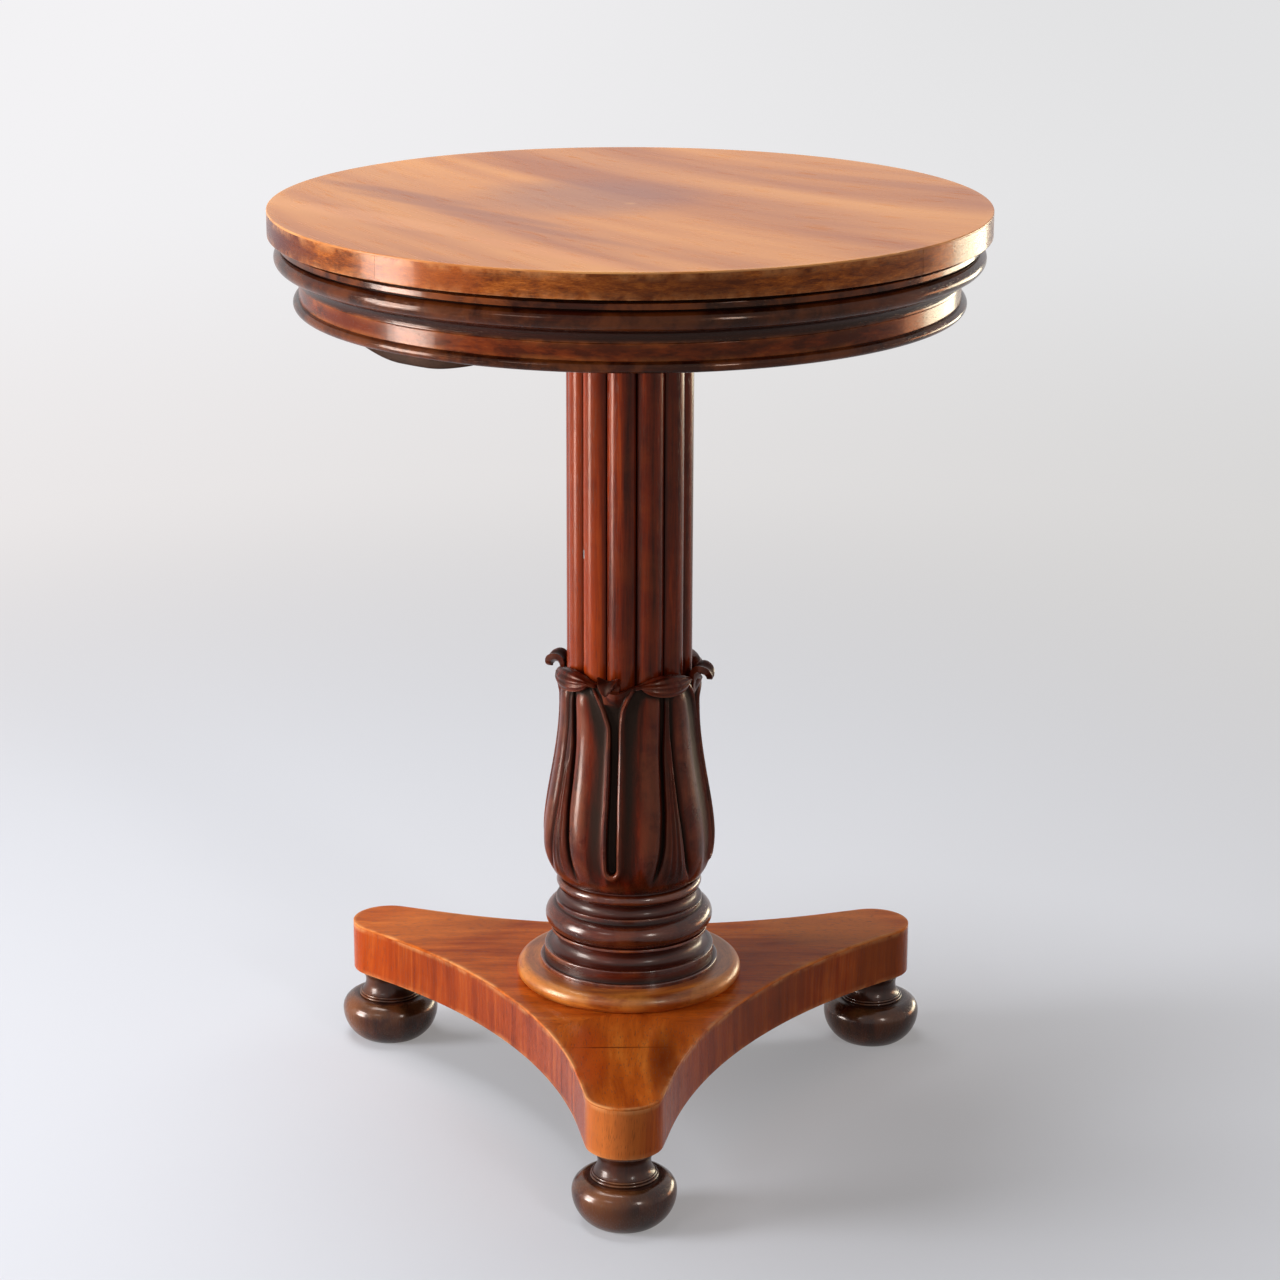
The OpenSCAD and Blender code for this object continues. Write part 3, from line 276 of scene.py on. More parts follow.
finishes = {
    "top_veneer": {"flow": (0.5, 0.61, -0.65), "grain": (24, 2.0, 20),
        "tones": [(180, 102, 50), (213, 134, 65), (234, 156, 79)], "spread": (0.36, 0.62), "worn": (244, 180, 118),
        "dark": (60, 30, 18), "pore": (160, 88, 48), "ribbon": 0.74, "fibre": 0.08, "cloud": 0.12,
        "cloudScale": 1.5, "detail": 1.5, "bend": 0.0, "sway": 0.006, "swayScale": 2.0, "pores": 0.08,
        "patchScale": 6.0, "smudge": 0.03, "bump": 0.05, "rough": 0.26, "ior": 1.42, "specular": 0.26,
        "gloss": (1.0, 0.85, 0.75), "coat": 0.05, "coatRough": 0.2, "smoke": (164, 98, 72), "smoky": 0.3,
        "smokeScale": (6.0, 0.9, 1.0),
        "marks": [(-0.035, 0.03, 0.11, 0.1, 0, 0.6, (146, 94, 84)),
            (-0.19, 0.05, 0.12, 0.016, -42, 0.6, (150, 88, 66)),
            (-0.14, -0.02, 0.15, 0.013, -42, 0.55, (154, 90, 64)),
            (-0.08, -0.1, 0.13, 0.01, -44, 0.45, (156, 88, 58)),
            (-0.2, -0.06, 0.12, 0.02, -42, 0.4, (240, 162, 100)),
            (-0.06, -0.2, 0.1, 0.014, -44, 0.3, (236, 152, 90)), (0.15, 0.13, 0.16, 0.02, -30, 0.3, (168, 98, 66))]},
    "edge_veneer": {"round": 0.27, "grain": (60, 200, 300), "tones": [(92, 38, 10), (150, 74, 20), (196, 110, 40)],
        "spread": (0.38, 0.62), "worn": (232, 158, 98), "dark": (52, 22, 9), "pore": (44, 18, 8), "ribbon": 0.48,
        "fibre": 0.34, "cloud": 0.14, "cloudScale": 11.0, "sway": 0.006, "pores": 0.8, "wear": 0.55,
        "patchScale": 60.0, "smudge": 0.05, "bump": 0.4, "rough": 0.2, "specular": 0.3, "coat": 0.1,
        "coatRough": 0.1,
        "marks": [(-0.262, -0.06, 0.08, 0.13, 0, 1.0, (84, 20, 5)),
            (-0.14, -0.238, 0.06, 0.05, 0, 0.5, (176, 86, 40)), (0.03, -0.275, 0.08, 0.03, 0, 0.4, (84, 36, 14))]},
    "moulding_wood": {"round": 0.27, "grain": (9, 150, 150), "tones": [(30, 7, 3), (56, 16, 6), (88, 32, 12)],
        "worn": (176, 92, 40), "dark": (12, 4, 2), "pore": (18, 6, 3), "cloud": 0.1, "wear": 0.55, "dirt": 1.0,
        "smudge": 0.04, "rough": 0.16, "coat": 0.22, "coatRough": 0.07},
    "band_veneer": {"round": 0.27, "grain": (30, 90, 120), "tones": [(72, 24, 8), (120, 48, 15), (164, 82, 32)],
        "spread": (0.38, 0.62), "worn": (190, 112, 56), "dark": (24, 9, 5), "pore": (34, 12, 6), "cloud": 0.1,
        "cloudScale": 18.0, "sway": 0.02, "wear": 0.5, "smudge": 0.05, "bump": 0.2, "rough": 0.2, "coat": 0.12,
        "coatRough": 0.08, "marks": [(-0.2, -0.15, 0.06, 0.06, 0, 0.6, (120, 44, 16))]},
    "tier_wood": {"grain": (90, 7, 60), "tones": [(96, 50, 28), (134, 74, 42), (160, 94, 56)],
        "worn": (176, 112, 70), "dark": (44, 22, 12), "pore": (64, 32, 18), "rough": 0.45, "coat": 0.01},
    "top_wood": {"grain": (90, 7, 60), "tones": [(98, 56, 32), (132, 78, 46), (158, 98, 60)],
        "worn": (176, 112, 70), "dark": (44, 22, 12), "pore": (64, 32, 18), "rough": 0.55, "coat": 0.00},
    "column_wood": {"grain": (130, 130, 6), "tones": [(64, 14, 5), (116, 35, 9), (168, 66, 20)],
        "worn": (196, 92, 38), "dark": (5, 2, 1), "pore": (28, 8, 4), "ribbon": 0.62, "cloud": 0.06, "sway": 0.0015,
        "wear": 0.3, "dirt": 1.0, "smudge": 0.05, "rough": 0.2, "gloss": (1.0, 0.7, 0.55), "coat": 0.07,
        # Its mark is painted light: the reeds at the front left are brighter orange, on the side the light comes
        # from
        "coatRough": 0.08, "marks": [(-0.04, -0.03, 0.03, 0.05, 0, 0.35, (190, 70, 20))]},
    "carved_wood": {"grain": (110, 110, 8), "tones": [(48, 10, 4), (90, 24, 8), (122, 40, 15)],
        "worn": (150, 74, 42), "dark": (7, 3, 2), "pore": (22, 7, 4), "cloud": 0.1, "sway": 0.003, "wear": 0.45,
        "dirt": 1.0, "rough": 0.28, "gloss": (1.0, 0.62, 0.45), "coat": 0.03, "coatRough": 0.1, "polish": 0.2},
    "socle_wood": {"round": 0.06, "grain": (14, 120, 120), "tones": [(46, 12, 6), (78, 23, 9), (110, 38, 16)],
        "worn": (156, 82, 44), "dark": (12, 4, 3), "pore": (22, 7, 4), "rough": 0.24, "specular": 0.45,
        "gloss": (1.0, 0.8, 0.7), "coat": 0.3, "coatRough": 0.16, "polish": 0.7},
    "collar_wood": {"round": 0.08, "grain": (16, 90, 90), "tones": [(110, 44, 12), (168, 84, 24), (214, 124, 42)],
        "worn": (228, 152, 70), "dark": (38, 15, 7), "pore": (60, 25, 10), "rough": 0.32, "specular": 0.9,
        "gloss": (1.0, 0.85, 0.62), "coat": 0.12, "coatRough": 0.18},
    "platform_top": {"lobes": (0.6, -0.078, -0.0775), "grain": (10, 80, 60),
        "tones": [(164, 68, 18), (208, 102, 32), (236, 138, 54)], "spread": (0.34, 0.62), "worn": (230, 160, 100),
        "dark": (52, 23, 12), "pore": (90, 36, 12), "ribbon": 0.42, "fibre": 0.15, "cloud": 0.32, "detail": 2.0,
        "bend": 0.2, "sway": 0.02, "pores": 0.7, "rough": 0.2, "ior": 1.25, "specular": 0.15, "coat": 0.04,
        "coatRough": 0.1,
        "marks": [(0.03, -0.18, 0.085, 0.018, 90, 0.85, (104, 34, 8)),
            (-0.03, -0.17, 0.07, 0.02, 90, 0.6, (200, 78, 18)), (-0.16, 0.11, 0.09, 0.05, 30, 0.4, (226, 130, 60)),
            (0.16, 0.11, 0.1, 0.06, -30, 0.6, (224, 134, 66)), (0.05, 0.03, 0.09, 0.05, 0, 0.35, (150, 66, 24)),
            (0.0, -0.152, 0.05, 0.0016, 2, 0.8, (80, 26, 8))]},
    "platform_edge": {"grain": (130, 130, 4), "tones": [(112, 34, 8), (160, 62, 16), (202, 102, 38)],
        "spread": (0.32, 0.68), "worn": (236, 164, 104), "dark": (48, 18, 8), "pore": (48, 15, 6), "ribbon": 0.4,
        "fibre": 0.24, "cloud": 0.36, "cloudScale": 11.0, "detail": 2.0, "bend": 0.1, "sway": 0.02, "pores": 0.6,
        "patchScale": 45.0, "rough": 0.22, "specular": 0.2, "coat": 0.06,
        # The first mark is painted light: a brighter patch on the front nose, where the light falls on it
        "marks": [(-0.01, -0.266, 0.045, 0.035, 0, 0.65, (226, 132, 66)),
            (0.16, -0.03, 0.16, 0.09, 40, 0.45, (120, 64, 24)), (0.2, 0.1, 0.08, 0.06, 0, 0.4, (140, 78, 32)),
            (-0.22, 0.1, 0.06, 0.05, 0, 0.45, (196, 76, 20))]},
    "platform_wood": {"grain": (8, 90, 60), "tones": [(82, 46, 26), (112, 66, 38), (138, 84, 50)],
        "worn": (150, 96, 60), "dark": (38, 20, 11), "pore": (54, 28, 16), "rough": 0.6, "coat": 0.00},
    "foot_wood": {"grain": (90, 90, 12), "tones": [(28, 10, 6), (54, 22, 12), (82, 36, 19)], "worn": (158, 104, 58),
        "dark": (14, 7, 5), "pore": (20, 10, 7), "patchScale": 45.0, "bump": 0.3, "rough": 0.24, "specular": 0.4,
        "gloss": (1.0, 0.75, 0.65), "coat": 0.35, "coatRough": 0.13, "polish": 0.6,
        "marks": [(-0.235, 0.1, 0.03, 0.02, 0, 0.7, (128, 72, 34)),
            (-0.012, -0.27, 0.03, 0.018, 0, 0.6, (120, 66, 32))]},
    "inner_wood": {"grain": (70, 70, 7), "tones": [(120, 76, 44), (150, 98, 60), (170, 116, 74)],
        "worn": (176, 122, 80), "dark": (60, 34, 20), "pore": (90, 54, 32), "rough": 0.6, "coat": 0.00},
    "catch_wood": {"grain": (60, 60, 60), "tones": [(22, 10, 6), (36, 18, 10), (52, 28, 17)], "worn": (60, 38, 26),
        "dark": (14, 7, 4), "pore": (16, 8, 5), "rough": 0.45, "specular": 0.12, "coat": 0.0},
}
materials = {name: mahogany(name, look) for name, look in finishes.items()}

brass = {"stain": 90.0, "stainRise": (0.4, 0.62), "bright": (206, 170, 104), "dull": (128, 98, 56), "rough": 0.22,
         "stained": 0.3, "scratch": (300, 300, 1200), "bump": 0.2, "bumpDeep": 0.0002}


def agedBrass(look):
    made, w = newMaterial("brass")
    place = w.node("ShaderNodeTexCoord", None, None, "Object")
    stain = place.noise(look["stain"], 4.0, 0.6)
    scratch = place.vector("MULTIPLY", look["scratch"]).noise(1.0, 2.0)
    colour = stain.rise(*look["stainRise"]).mix(tone(*look["bright"]), tone(*look["dull"]))
    bump = w.node("ShaderNodeBump", None, {
        "Strength": look["bump"], "Distance": look["bumpDeep"], "Height": scratch})
    shader = w.node("ShaderNodeBsdfPrincipled", None, {
        "Base Color": colour, "Metallic": 1.0, "Roughness": stain * look["stained"] + look["rough"], "Normal": bump})
    w.node("ShaderNodeOutputMaterial", None, {"Surface": shader})
    return made


materials["brass"] = agedBrass(brass)
print("finishes made,", len(materials))


# A new node group for geometry, with its named inputs
def newTree(name, inputs):
    made = bpy.data.node_groups.new(name, "GeometryNodeTree")
    for label, kind, value in inputs:
        socket = made.interface.new_socket(label, in_out="INPUT", socket_type="NodeSocket" + kind)
        if value is not None:
            socket.default_value = value
    made.interface.new_socket("Geometry", in_out="OUTPUT", socket_type="NodeSocketGeometry")
    start = made.nodes.new("NodeGroupInput")
    return made, Wire(made), {label: Wire(made, start.outputs[label]) for label, kind, value in inputs}


# Every tree ends in plain geometry with its finish on
def endTree(w, geometry, finish):
    real = w.node("GeometryNodeRealizeInstances", None, {"Geometry": geometry})
    done = w.node("GeometryNodeSetMaterial", None, {"Geometry": real, "Material": finish})
    end = w.tree.nodes.new("NodeGroupOutput")
    w.tree.links.new(done.socket, end.inputs["Geometry"])


# A grid whose columns are the seed's points and whose rows are the steps of the turn or the pull
def seedGrid(w, seed, steps):
    count = w.node("GeometryNodeAttributeDomainSize", {"component": "MESH"}, {"Geometry": seed}, "Point Count")
    rows = steps + 1
    grid = w.node("GeometryNodeMeshGrid", None, {"Vertices X": count + 1, "Vertices Y": rows}, "Mesh")
    index = w.node("GeometryNodeInputIndex")
    column = w.math("FLOOR", (index + 0.5) / rows)
    point = w.math("MODULO", column, count)
    place, proud = (w.node("GeometryNodeSampleIndex", {"data_type": kind, "domain": "POINT"}, {
        "Geometry": seed, "Value": value, "Index": point}) for kind, value in (
            ("FLOAT_VECTOR", w.node("GeometryNodeInputPosition")),
            ("FLOAT", w.node("GeometryNodeInputNamedAttribute", {"data_type": "FLOAT"}, {"Name": "proud"}))))
    return grid, place, proud, (index - column * rows) / steps


# The grid at its places, with how proud it stands
def wallOf(w, grid, place, proud):
    moved = w.node("GeometryNodeSetPosition", None, {"Geometry": grid, "Position": place})
    return w.node("GeometryNodeStoreNamedAttribute", {"data_type": "FLOAT", "domain": "POINT"}, {
        "Geometry": moved, "Name": "proud", "Value": proud})


# The wall with the seed at both ends, turned round Z or lifted along it
def closedWall(w, wall, seed, change, ends):
    caps = [w.node("GeometryNodeTransform", None, {"Geometry": seed, change: w.gather(0.0, 0.0, end)})
            for end in ends]
    return w.node("GeometryNodeJoinGeometry", None, {"Geometry": [wall] + caps})


def merged(w, geometry):
    return w.node("GeometryNodeMergeByDistance", None, {"Geometry": geometry, "Distance": 0.000001})


# Copies of a piece round the axis
def ringOf(w, piece, copies, start):
    spots = w.node("GeometryNodeMeshLine", {"mode": "OFFSET"}, {"Count": copies, "Offset": (0.0, 0.0, 0.0)})
    angle = start + w.node("GeometryNodeInputIndex") * (2 * math.pi / copies)
    return w.node("GeometryNodeInstanceOnPoints", None, {
        "Points": spots, "Instance": piece, "Rotation": w.gather(0.0, 0.0, angle)})


# The lathe: a closed profile in the XZ plane turns round Z, all the way or through an arc with closed ends
def latheTree():
    tree, w, given = newTree("lathe", [
        ("Geometry", "Geometry", None), ("Steps", "Int", 256), ("Start", "Float", 0.0),
        ("Turn", "Float", 2 * math.pi), ("Centre", "Vector", (0.0, 0.0, 0.0)), ("Ends", "Bool", False),
        ("Finish", "Material", None)])
    seed, start, turn = given["Geometry"], given["Start"], given["Turn"]
    grid, place, proud, share = seedGrid(w, seed, given["Steps"])
    turned = w.node("ShaderNodeVectorRotate", {"rotation_type": "Z_AXIS"}, {
        "Vector": place, "Angle": start + turn * share})
    wall = wallOf(w, grid, turned, proud)
    either = w.node("GeometryNodeSwitch", {"input_type": "GEOMETRY"}, {
        "Switch": given["Ends"], "False": wall,
        "True": closedWall(w, wall, seed, "Rotation", (start, start + turn))})
    placed = w.node("GeometryNodeTransform", None, {"Geometry": either, "Translation": given["Centre"]})
    endTree(w, merged(w, placed), given["Finish"])
    return tree


# The reeded column: one stave's section is pulled upwards, and copies of it stand round the axis
def staveTree():
    tree, w, given = newTree("staves", [
        ("Geometry", "Geometry", None), ("Steps", "Int", 24), ("Bottom", "Float", 0.0), ("Top", "Float", 1.0),
        ("Copies", "Int", 4), ("Start", "Float", 0.0), ("Finish", "Material", None)])
    seed, low, high = given["Geometry"], given["Bottom"], given["Top"]
    grid, place, proud, share = seedGrid(w, seed, given["Steps"])
    lifted = place.vector("ADD", w.gather(0.0, 0.0, low + (high - low) * share))
    stave = closedWall(w, wallOf(w, grid, lifted, proud), seed, "Translation", (low, high))
    endTree(w, ringOf(w, merged(w, stave), given["Copies"], given["Start"]), given["Finish"])
    return tree


def ringTree():
    tree, w, given = newTree("ring", [
        ("Geometry", "Geometry", None), ("Copies", "Int", 4), ("Start", "Float", 0.0), ("Finish", "Material", None)])
    endTree(w, ringOf(w, given["Geometry"], given["Copies"], given["Start"]), given["Finish"])
    return tree


trees = {"lathe": latheTree(), "staves": staveTree(), "ring": ringTree()}


# Smooth shading with crisp arrises, doubles merged and faces outwards
def tidy(mesh, crisp=38):
    work = bmesh.new()
    work.from_mesh(mesh)
    bmesh.ops.remove_doubles(work, verts=work.verts, dist=1e-6)
    bmesh.ops.delete(work, geom=[v for v in work.verts if not v.link_faces], context="VERTS")
    bmesh.ops.delete(work, geom=[e for e in work.edges if not e.link_faces], context="EDGES")
    bmesh.ops.recalc_face_normals(work, faces=work.faces)
    work.to_mesh(mesh)
    work.free()
    mesh.shade_smooth()
    mesh.set_sharp_from_angle(angle=math.radians(crisp))


# A mesh from points in millimetres, with how proud each point stands
def newMesh(name, points, faces, proud):
    mesh = bpy.data.meshes.new(name)
    mesh.from_pydata((np.asarray(points, float) * mm).tolist(), [], faces)
    layer = mesh.attributes.new("proud", "FLOAT", "POINT")
    layer.data.foreach_set("value", np.asarray(proud, np.float32))
    return mesh


# Faces between the rows of a swept outline, with its two ends, and between rings whose last joins the first
def sweptFaces(rows, count):
    faces = [(i * count + j, (i + 1) * count + j, (i + 1) * count + (j + 1) % count, i * count + (j + 1) % count)
             for i in range(rows - 1) for j in range(count)]
    return faces + [tuple(range(count)), tuple((rows - 1) * count + j for j in reversed(range(count)))]


def ringFaces(rows, count):
    faces = []
    for i in range(rows):
        here, following = i * count, (i + 1) % rows * count
        for j in range(count):
            after = (j + 1) % count
            faces.append((here + j, here + after, following + after, following + j))
    return faces


# The piece that a tree or a modifier makes, as a plain mesh
def settle(made, crisp=38):
    bpy.context.view_layer.update()
    mesh = bpy.data.meshes.new_from_object(made.evaluated_get(bpy.context.evaluated_depsgraph_get()))
    made.modifiers.clear()
    made.data = mesh
    mesh.name = made.name
    tidy(mesh, crisp)
    return made


def newPiece(name, mesh):
    made = bpy.data.objects.new(name, mesh)
    scene.collection.objects.link(made)
    return made


def grow(name, seed, tree, values, crisp=38):
    made = newPiece(name, seed)
    modifier = made.modifiers.new(tree, "NODES")
    modifier.node_group = trees[tree]
    for item in trees[tree].interface.items_tree:
        if item.item_type == "SOCKET" and item.in_out == "INPUT" and item.name in values:
            modifier[item.identifier] = values[item.name]
    return settle(made, crisp)


# Every piece gets its slot's finish, rides on its solid's body and stands for its solids
def seat(made, *replaced):
    slot = slots[replaced[0]]
    if not made.data.materials:
        made.data.materials.append(materials[slot])
    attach(made, bodyOf[replaced[0]])
    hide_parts(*replaced)


# An arc of a profile, with angles in degrees
def arc(r, z, radius, start, end, steps=16):
    angles = np.radians(np.linspace(start, end, steps + 1))
    return [(r + radius * math.cos(a), z + radius * math.sin(a)) for a in angles]


# How far along a line of points each one lies
def lengthAlong(points):
    return np.concatenate([[0], np.cumsum(np.linalg.norm(np.diff(points, axis=0), axis=1))])


# A corner takes at most a share of each side. The points beside it stand further out, where there is room for them.
# Outlines are looked over in fine steps, and long flats get points near their ends, in spans.
outlines = {"share": 0.42, "beside": 1.6, "room": 2.6, "fine": 0.2, "fewest": 64, "blur": 3, "full": 0.4, "flat": 7,
            "end": 3}


# A closed outline whose corners, given as (x, y, radius), are rounded
def eased(corners, steps=4):
    done = []
    for n, corner in enumerate(corners):
        here = np.array(corner[:2], float)
        radius = corner[2] if len(corner) > 2 else 0
        if radius <= 0:
            done.append(here)
            continue
        before = np.array(corners[n - 1][:2], float) - here
        after = np.array(corners[(n + 1) % len(corners)][:2], float) - here
        a, b = np.linalg.norm(before), np.linalg.norm(after)
        before, after = before / a, after / b
        half = math.acos(max(-1, min(1, float(before @ after)))) / 2
        back = min(radius / math.tan(half), outlines["share"] * a, outlines["share"] * b)
        if a > outlines["room"] * back:
            done.append(here + before * back * outlines["beside"])
        for t in np.linspace(0, 1, steps + 1):
            w0, w1, w2 = (1 - t) ** 2, 2 * t * (1 - t) * math.sin(half), t * t
            done.append((w0 * (here + before * back) + w1 * here + w2 * (here + after * back)) / (w0 + w1 + w2))
        if b > outlines["room"] * back:
            done.append(here + after * back * outlines["beside"])
    return np.array(done)


# How proud each point of a closed outline stands of its surroundings: 1 on a crest, -1 in a groove
def standing(points, span):
    ring = np.vstack([points, points[:1]])
    length = lengthAlong(ring)
    count = max(outlines["fewest"], int(length[-1] / outlines["fine"]))
    step = length[-1] / count
    at = np.linspace(0, length[-1], count, endpoint=False)
    dense = np.stack([np.interp(at, length, ring[:, k]) for k in (0, 1)], 1)
    most = int(outlines["blur"] * span / step) + 1
    nearby = np.arange(-most, most + 1)
    weights = np.exp(-0.5 * (nearby * step / span) ** 2)
    weights /= weights.sum()
    index = (np.arange(count)[:, None] + nearby[None]) % count
    mean = (dense[index] * weights[None, :, None]).sum(1)
    along = np.roll(dense, -1, 0) - np.roll(dense, 1, 0)
    area = 0.5 * np.sum(ring[:-1, 0] * ring[1:, 1] - ring[1:, 0] * ring[:-1, 1])
    outward = np.stack([along[:, 1], -along[:, 0]], 1) * (1 if area > 0 else -1)
    outward /= np.linalg.norm(outward, axis=1)[:, None] + 1e-9
    proud = np.clip(((dense - mean) * outward).sum(1) / (outlines["full"] * span), -1, 1)
    return np.interp(length[:-1], at, proud, period=length[-1])


# Further points on long flats, so that what happens at an arris stays beside it
def held(points, span):
    done = []
    for n, here in enumerate(points):
        done.append(here)
        way = points[(n + 1) % len(points)] - here
        if np.linalg.norm(way) > outlines["flat"] * span:
            way *= outlines["end"] * span / np.linalg.norm(way)
            done += [here + way, points[(n + 1) % len(points)] - way]
    return np.array(done)


def turnedPiece(node, corners, steps=256, span=2.0, start=0.0, turn=360.0, centre=(0, 0), name=None):
    name = name or pieceName(node)
    points = held(eased(corners), span)
    seed = newMesh(name, [(r, 0, z) for r, z in points], [list(range(len(points)))], standing(points, span))
    made = grow(name, seed, "lathe", {
        "Steps": steps, "Start": math.radians(start), "Turn": math.radians(turn), "Ends": turn < 360,
        "Centre": (centre[0] * mm, centre[1] * mm, 0.0), "Finish": materials[slots[node]]})
    seat(made, node)


# A flat ring's profile, with its two outer arrises
def flatRing(inner, outer, low, high, lowArris, highArris):
    return [(inner, low), (outer, low, lowArris), (outer, high, highArris), (inner, high)]


# The top: veneer, four lengths of edge band and the ring that rests on the middle tier
top = {"arris": 1.1, "glued": 0.15, "bandArris": 0.7, "bandThick": 3.0, "bands": 4, "bandStart": -40.0,
       "bandGap": 0.05, "ringWide": 18.0, "ringArris": (0.5, 0.6), "steps": 384}


def makeTop(look):
    low, high = levels("top_veneer")
    r = reach("top_veneer")
    turnedPiece("top_veneer", flatRing(0, r, low, high, look["glued"], look["arris"]), look["steps"])
    low, high = levels("top_edge_band_1")
    corners = flatRing(r - look["bandThick"], r, low, high, look["bandArris"], look["glued"])
    share = 360 / look["bands"]
    for n in range(look["bands"]):
        turnedPiece("top_edge_band_%d" % (n + 1), corners, look["steps"] // look["bands"],
                    start=look["bandStart"] + share * n + look["bandGap"] / 2, turn=share - look["bandGap"])
    low, high = levels("top_rest_ring")
    r = reach("top_rest_ring")
    inner = r - look["ringWide"]
    turnedPiece("top_rest_ring", [
        (inner, low, look["ringArris"][0]), (r, low, look["ringArris"][1]), (r, high), (inner, high)])


makeTop(top)
print("top made")

# The tiers' rims: the deep moulding, and the band and bead of the lower tier. Arcs are from one angle to another.
rims = {"filletHigh": 4.6, "filletBack": 4.0, "filletArris": (0.6, 0.4), "quirk": 1.0, "quirkBack": 6.5,
        "quirkArris": 0.2, "quirkLean": (0.3, 0.05), "round": 14.4, "roundArc": (78, -84), "hollow": 10.0,
        "hollowArc": (87, 178), "hollowArris": 0.35, "lip": 1.2, "board": 28.0, "ledge": 6.0, "ledgeArris": 0.3,
        "boardThick": 21.0, "span": 2.5, "bandThick": 3.5, "bandArris": (0.2, 0.8), "bandSpan": 1.2, "beadBack": 8.0,
        "beadFlat": 0.6, "beadArris": 0.2, "beadArc": (80, -90), "steps": 320}


def makeRims(look):
    low, high = levels("middle_tier_moulding")
    r = reach("middle_tier_moulding")
    half = look["round"] / 2
    crest = high - look["filletHigh"] - look["quirk"] - half
    middle = r - half
    board = r - look["board"]
    fillet, quirk, level = r - look["filletBack"], r - look["quirkBack"], high - look["filletHigh"]
    lean, drop = look["quirkLean"]
    corners = [(board, high), (fillet, high, look["filletArris"][0]), (fillet, level, look["filletArris"][1]),
               (quirk, level, look["quirkArris"]), (quirk - lean, crest + half - drop)]
    corners += arc(middle, crest, half, *look["roundArc"], 28)
    corners += arc(middle, low + look["lip"], look["hollow"], *look["hollowArc"], 20)
    ledge, bottom = board - look["ledge"], high - look["boardThick"]
    corners += [(middle - look["hollow"], low, look["hollowArris"]), (ledge, low, look["ledgeArris"]),
                (ledge, bottom), (board, bottom)]
    turnedPiece("middle_tier_moulding", corners, look["steps"], look["span"])
    low, high = levels("lower_tier_band")
    r = reach("lower_tier_band")
    corners = flatRing(r - look["bandThick"], r, low, high, *look["bandArris"])
    turnedPiece("lower_tier_band", corners, look["steps"], look["bandSpan"])
    low, high = levels("lower_tier_bead")
    r = reach("lower_tier_bead")
    half = (high - low) / 2
    corners = [(r - look["beadBack"], high), (r - half - look["beadFlat"], high, look["beadArris"])]
    corners += arc(r - half, low + half, half, *look["beadArc"], 20) + [(r - look["beadBack"], low)]
    turnedPiece("lower_tier_bead", corners, look["steps"])


makeRims(rims)
print("rims made")

# The column's staves. Every third reed belongs to the same stage.
reeds = {"column": 50.0, "crevice": 44.5, "gap": 0.4, "post": 30.0, "slide": 30.4, "tail": 25.5, "tailArris": 0.3,
         "tongue": 6.4, "tongueTail": 8.4, "corner": 0.7, "cornerTurn": 7, "first": -97.55, "pitch": 30.0,
         "creviceDirtAndShade": (-0.2, 1.6, 2.2), "proud": 0.35, "steps": 24, "mortise": 12.0, "ease": 0.1, "travel": 190.0,
         "clear": 0.5, "pockets": {
             "middleStaves": {"catch": "lower_catch_bar", "stave": 3, "from": 38.7, "across": (-11.0, -6.8)},
             "topStaves": {"catch": "upper_catch_bolt", "stave": 2, "from": 40.3, "across": (-5.5, 5.5)}}}


def staveSection(look, inner, tongue):
    side = math.radians(look["pitch"] / 2)
    chord = look["crevice"] * math.sin(side)
    rise = look["column"] - look["crevice"] * math.cos(side)
    radius = (chord * chord + rise * rise) / (2 * rise)
    centre = look["column"] - radius

    # Where the side plane, drawn in by the gap, meets the reed and the post
    def meet(middle, r):
        off = look["gap"] - middle * math.sin(side)
        t = middle * math.cos(side) + math.sqrt(r * r - off * off)
        return t * math.cos(side) + look["gap"] * math.sin(side), t * math.sin(side) - look["gap"] * math.cos(side)

    outer, low = meet(centre, radius), meet(0.0, inner)
    edge = math.degrees(math.atan2(outer[1], outer[0] - centre)) - look["cornerTurn"]
    corners = [(low[0], -low[1]), (outer[0], -outer[1], look["corner"])]
    corners += arc(centre, 0, radius, -edge, edge, 22) + [(outer[0], outer[1], look["corner"]), low]
    half = math.degrees(math.atan2(low[1], low[0]))
    if tongue:
        root = math.degrees(math.asin(look["tongue"] / 2 / inner))
        corners += arc(0, 0, inner, half * 0.95, root, 3)
        corners += [(look["tail"], y * look["tongueTail"] / 2, look["tailArris"]) for y in (1, -1)]
        corners += arc(0, 0, inner, -root, -half * 0.95, 3)
    else:
        corners += arc(0, 0, inner, half * 0.9, -half * 0.9, 8)
    points = eased(corners, 3)
    # Dirt and painted shade darken the crevices, the crests are a little worn
    out = np.hypot(points[:, 0], points[:, 1]) - look["crevice"]
    start, middle, half = look["creviceDirtAndShade"]
    return points, np.clip(np.where(out > start, (out - middle) / half, -1.0), -1, look["proud"])


# Boxes cut from a piece, each given by its turn round the axis and its ends along x, y and z
def cutBoxes(made, boxes):
    work = bmesh.new()
    for turn, ends in boxes:
        size, middle = [(b - a) * mm for a, b in ends], [(a + b) / 2 * mm for a, b in ends]
        bmesh.ops.create_cube(work, size=1.0, matrix=Matrix.Rotation(math.radians(turn), 4, "Z")
                              @ Matrix.Translation(middle) @ Matrix.Diagonal(size + [1]))
    mesh = bpy.data.meshes.new("cutter")
    work.to_mesh(mesh)
    work.free()
    cutter = newPiece("cutter", mesh)
    modifier = made.modifiers.new("cut", "BOOLEAN")
    modifier.operation, modifier.solver, modifier.object = "DIFFERENCE", "EXACT", cutter
    settle(made)
    bpy.data.objects.remove(cutter)


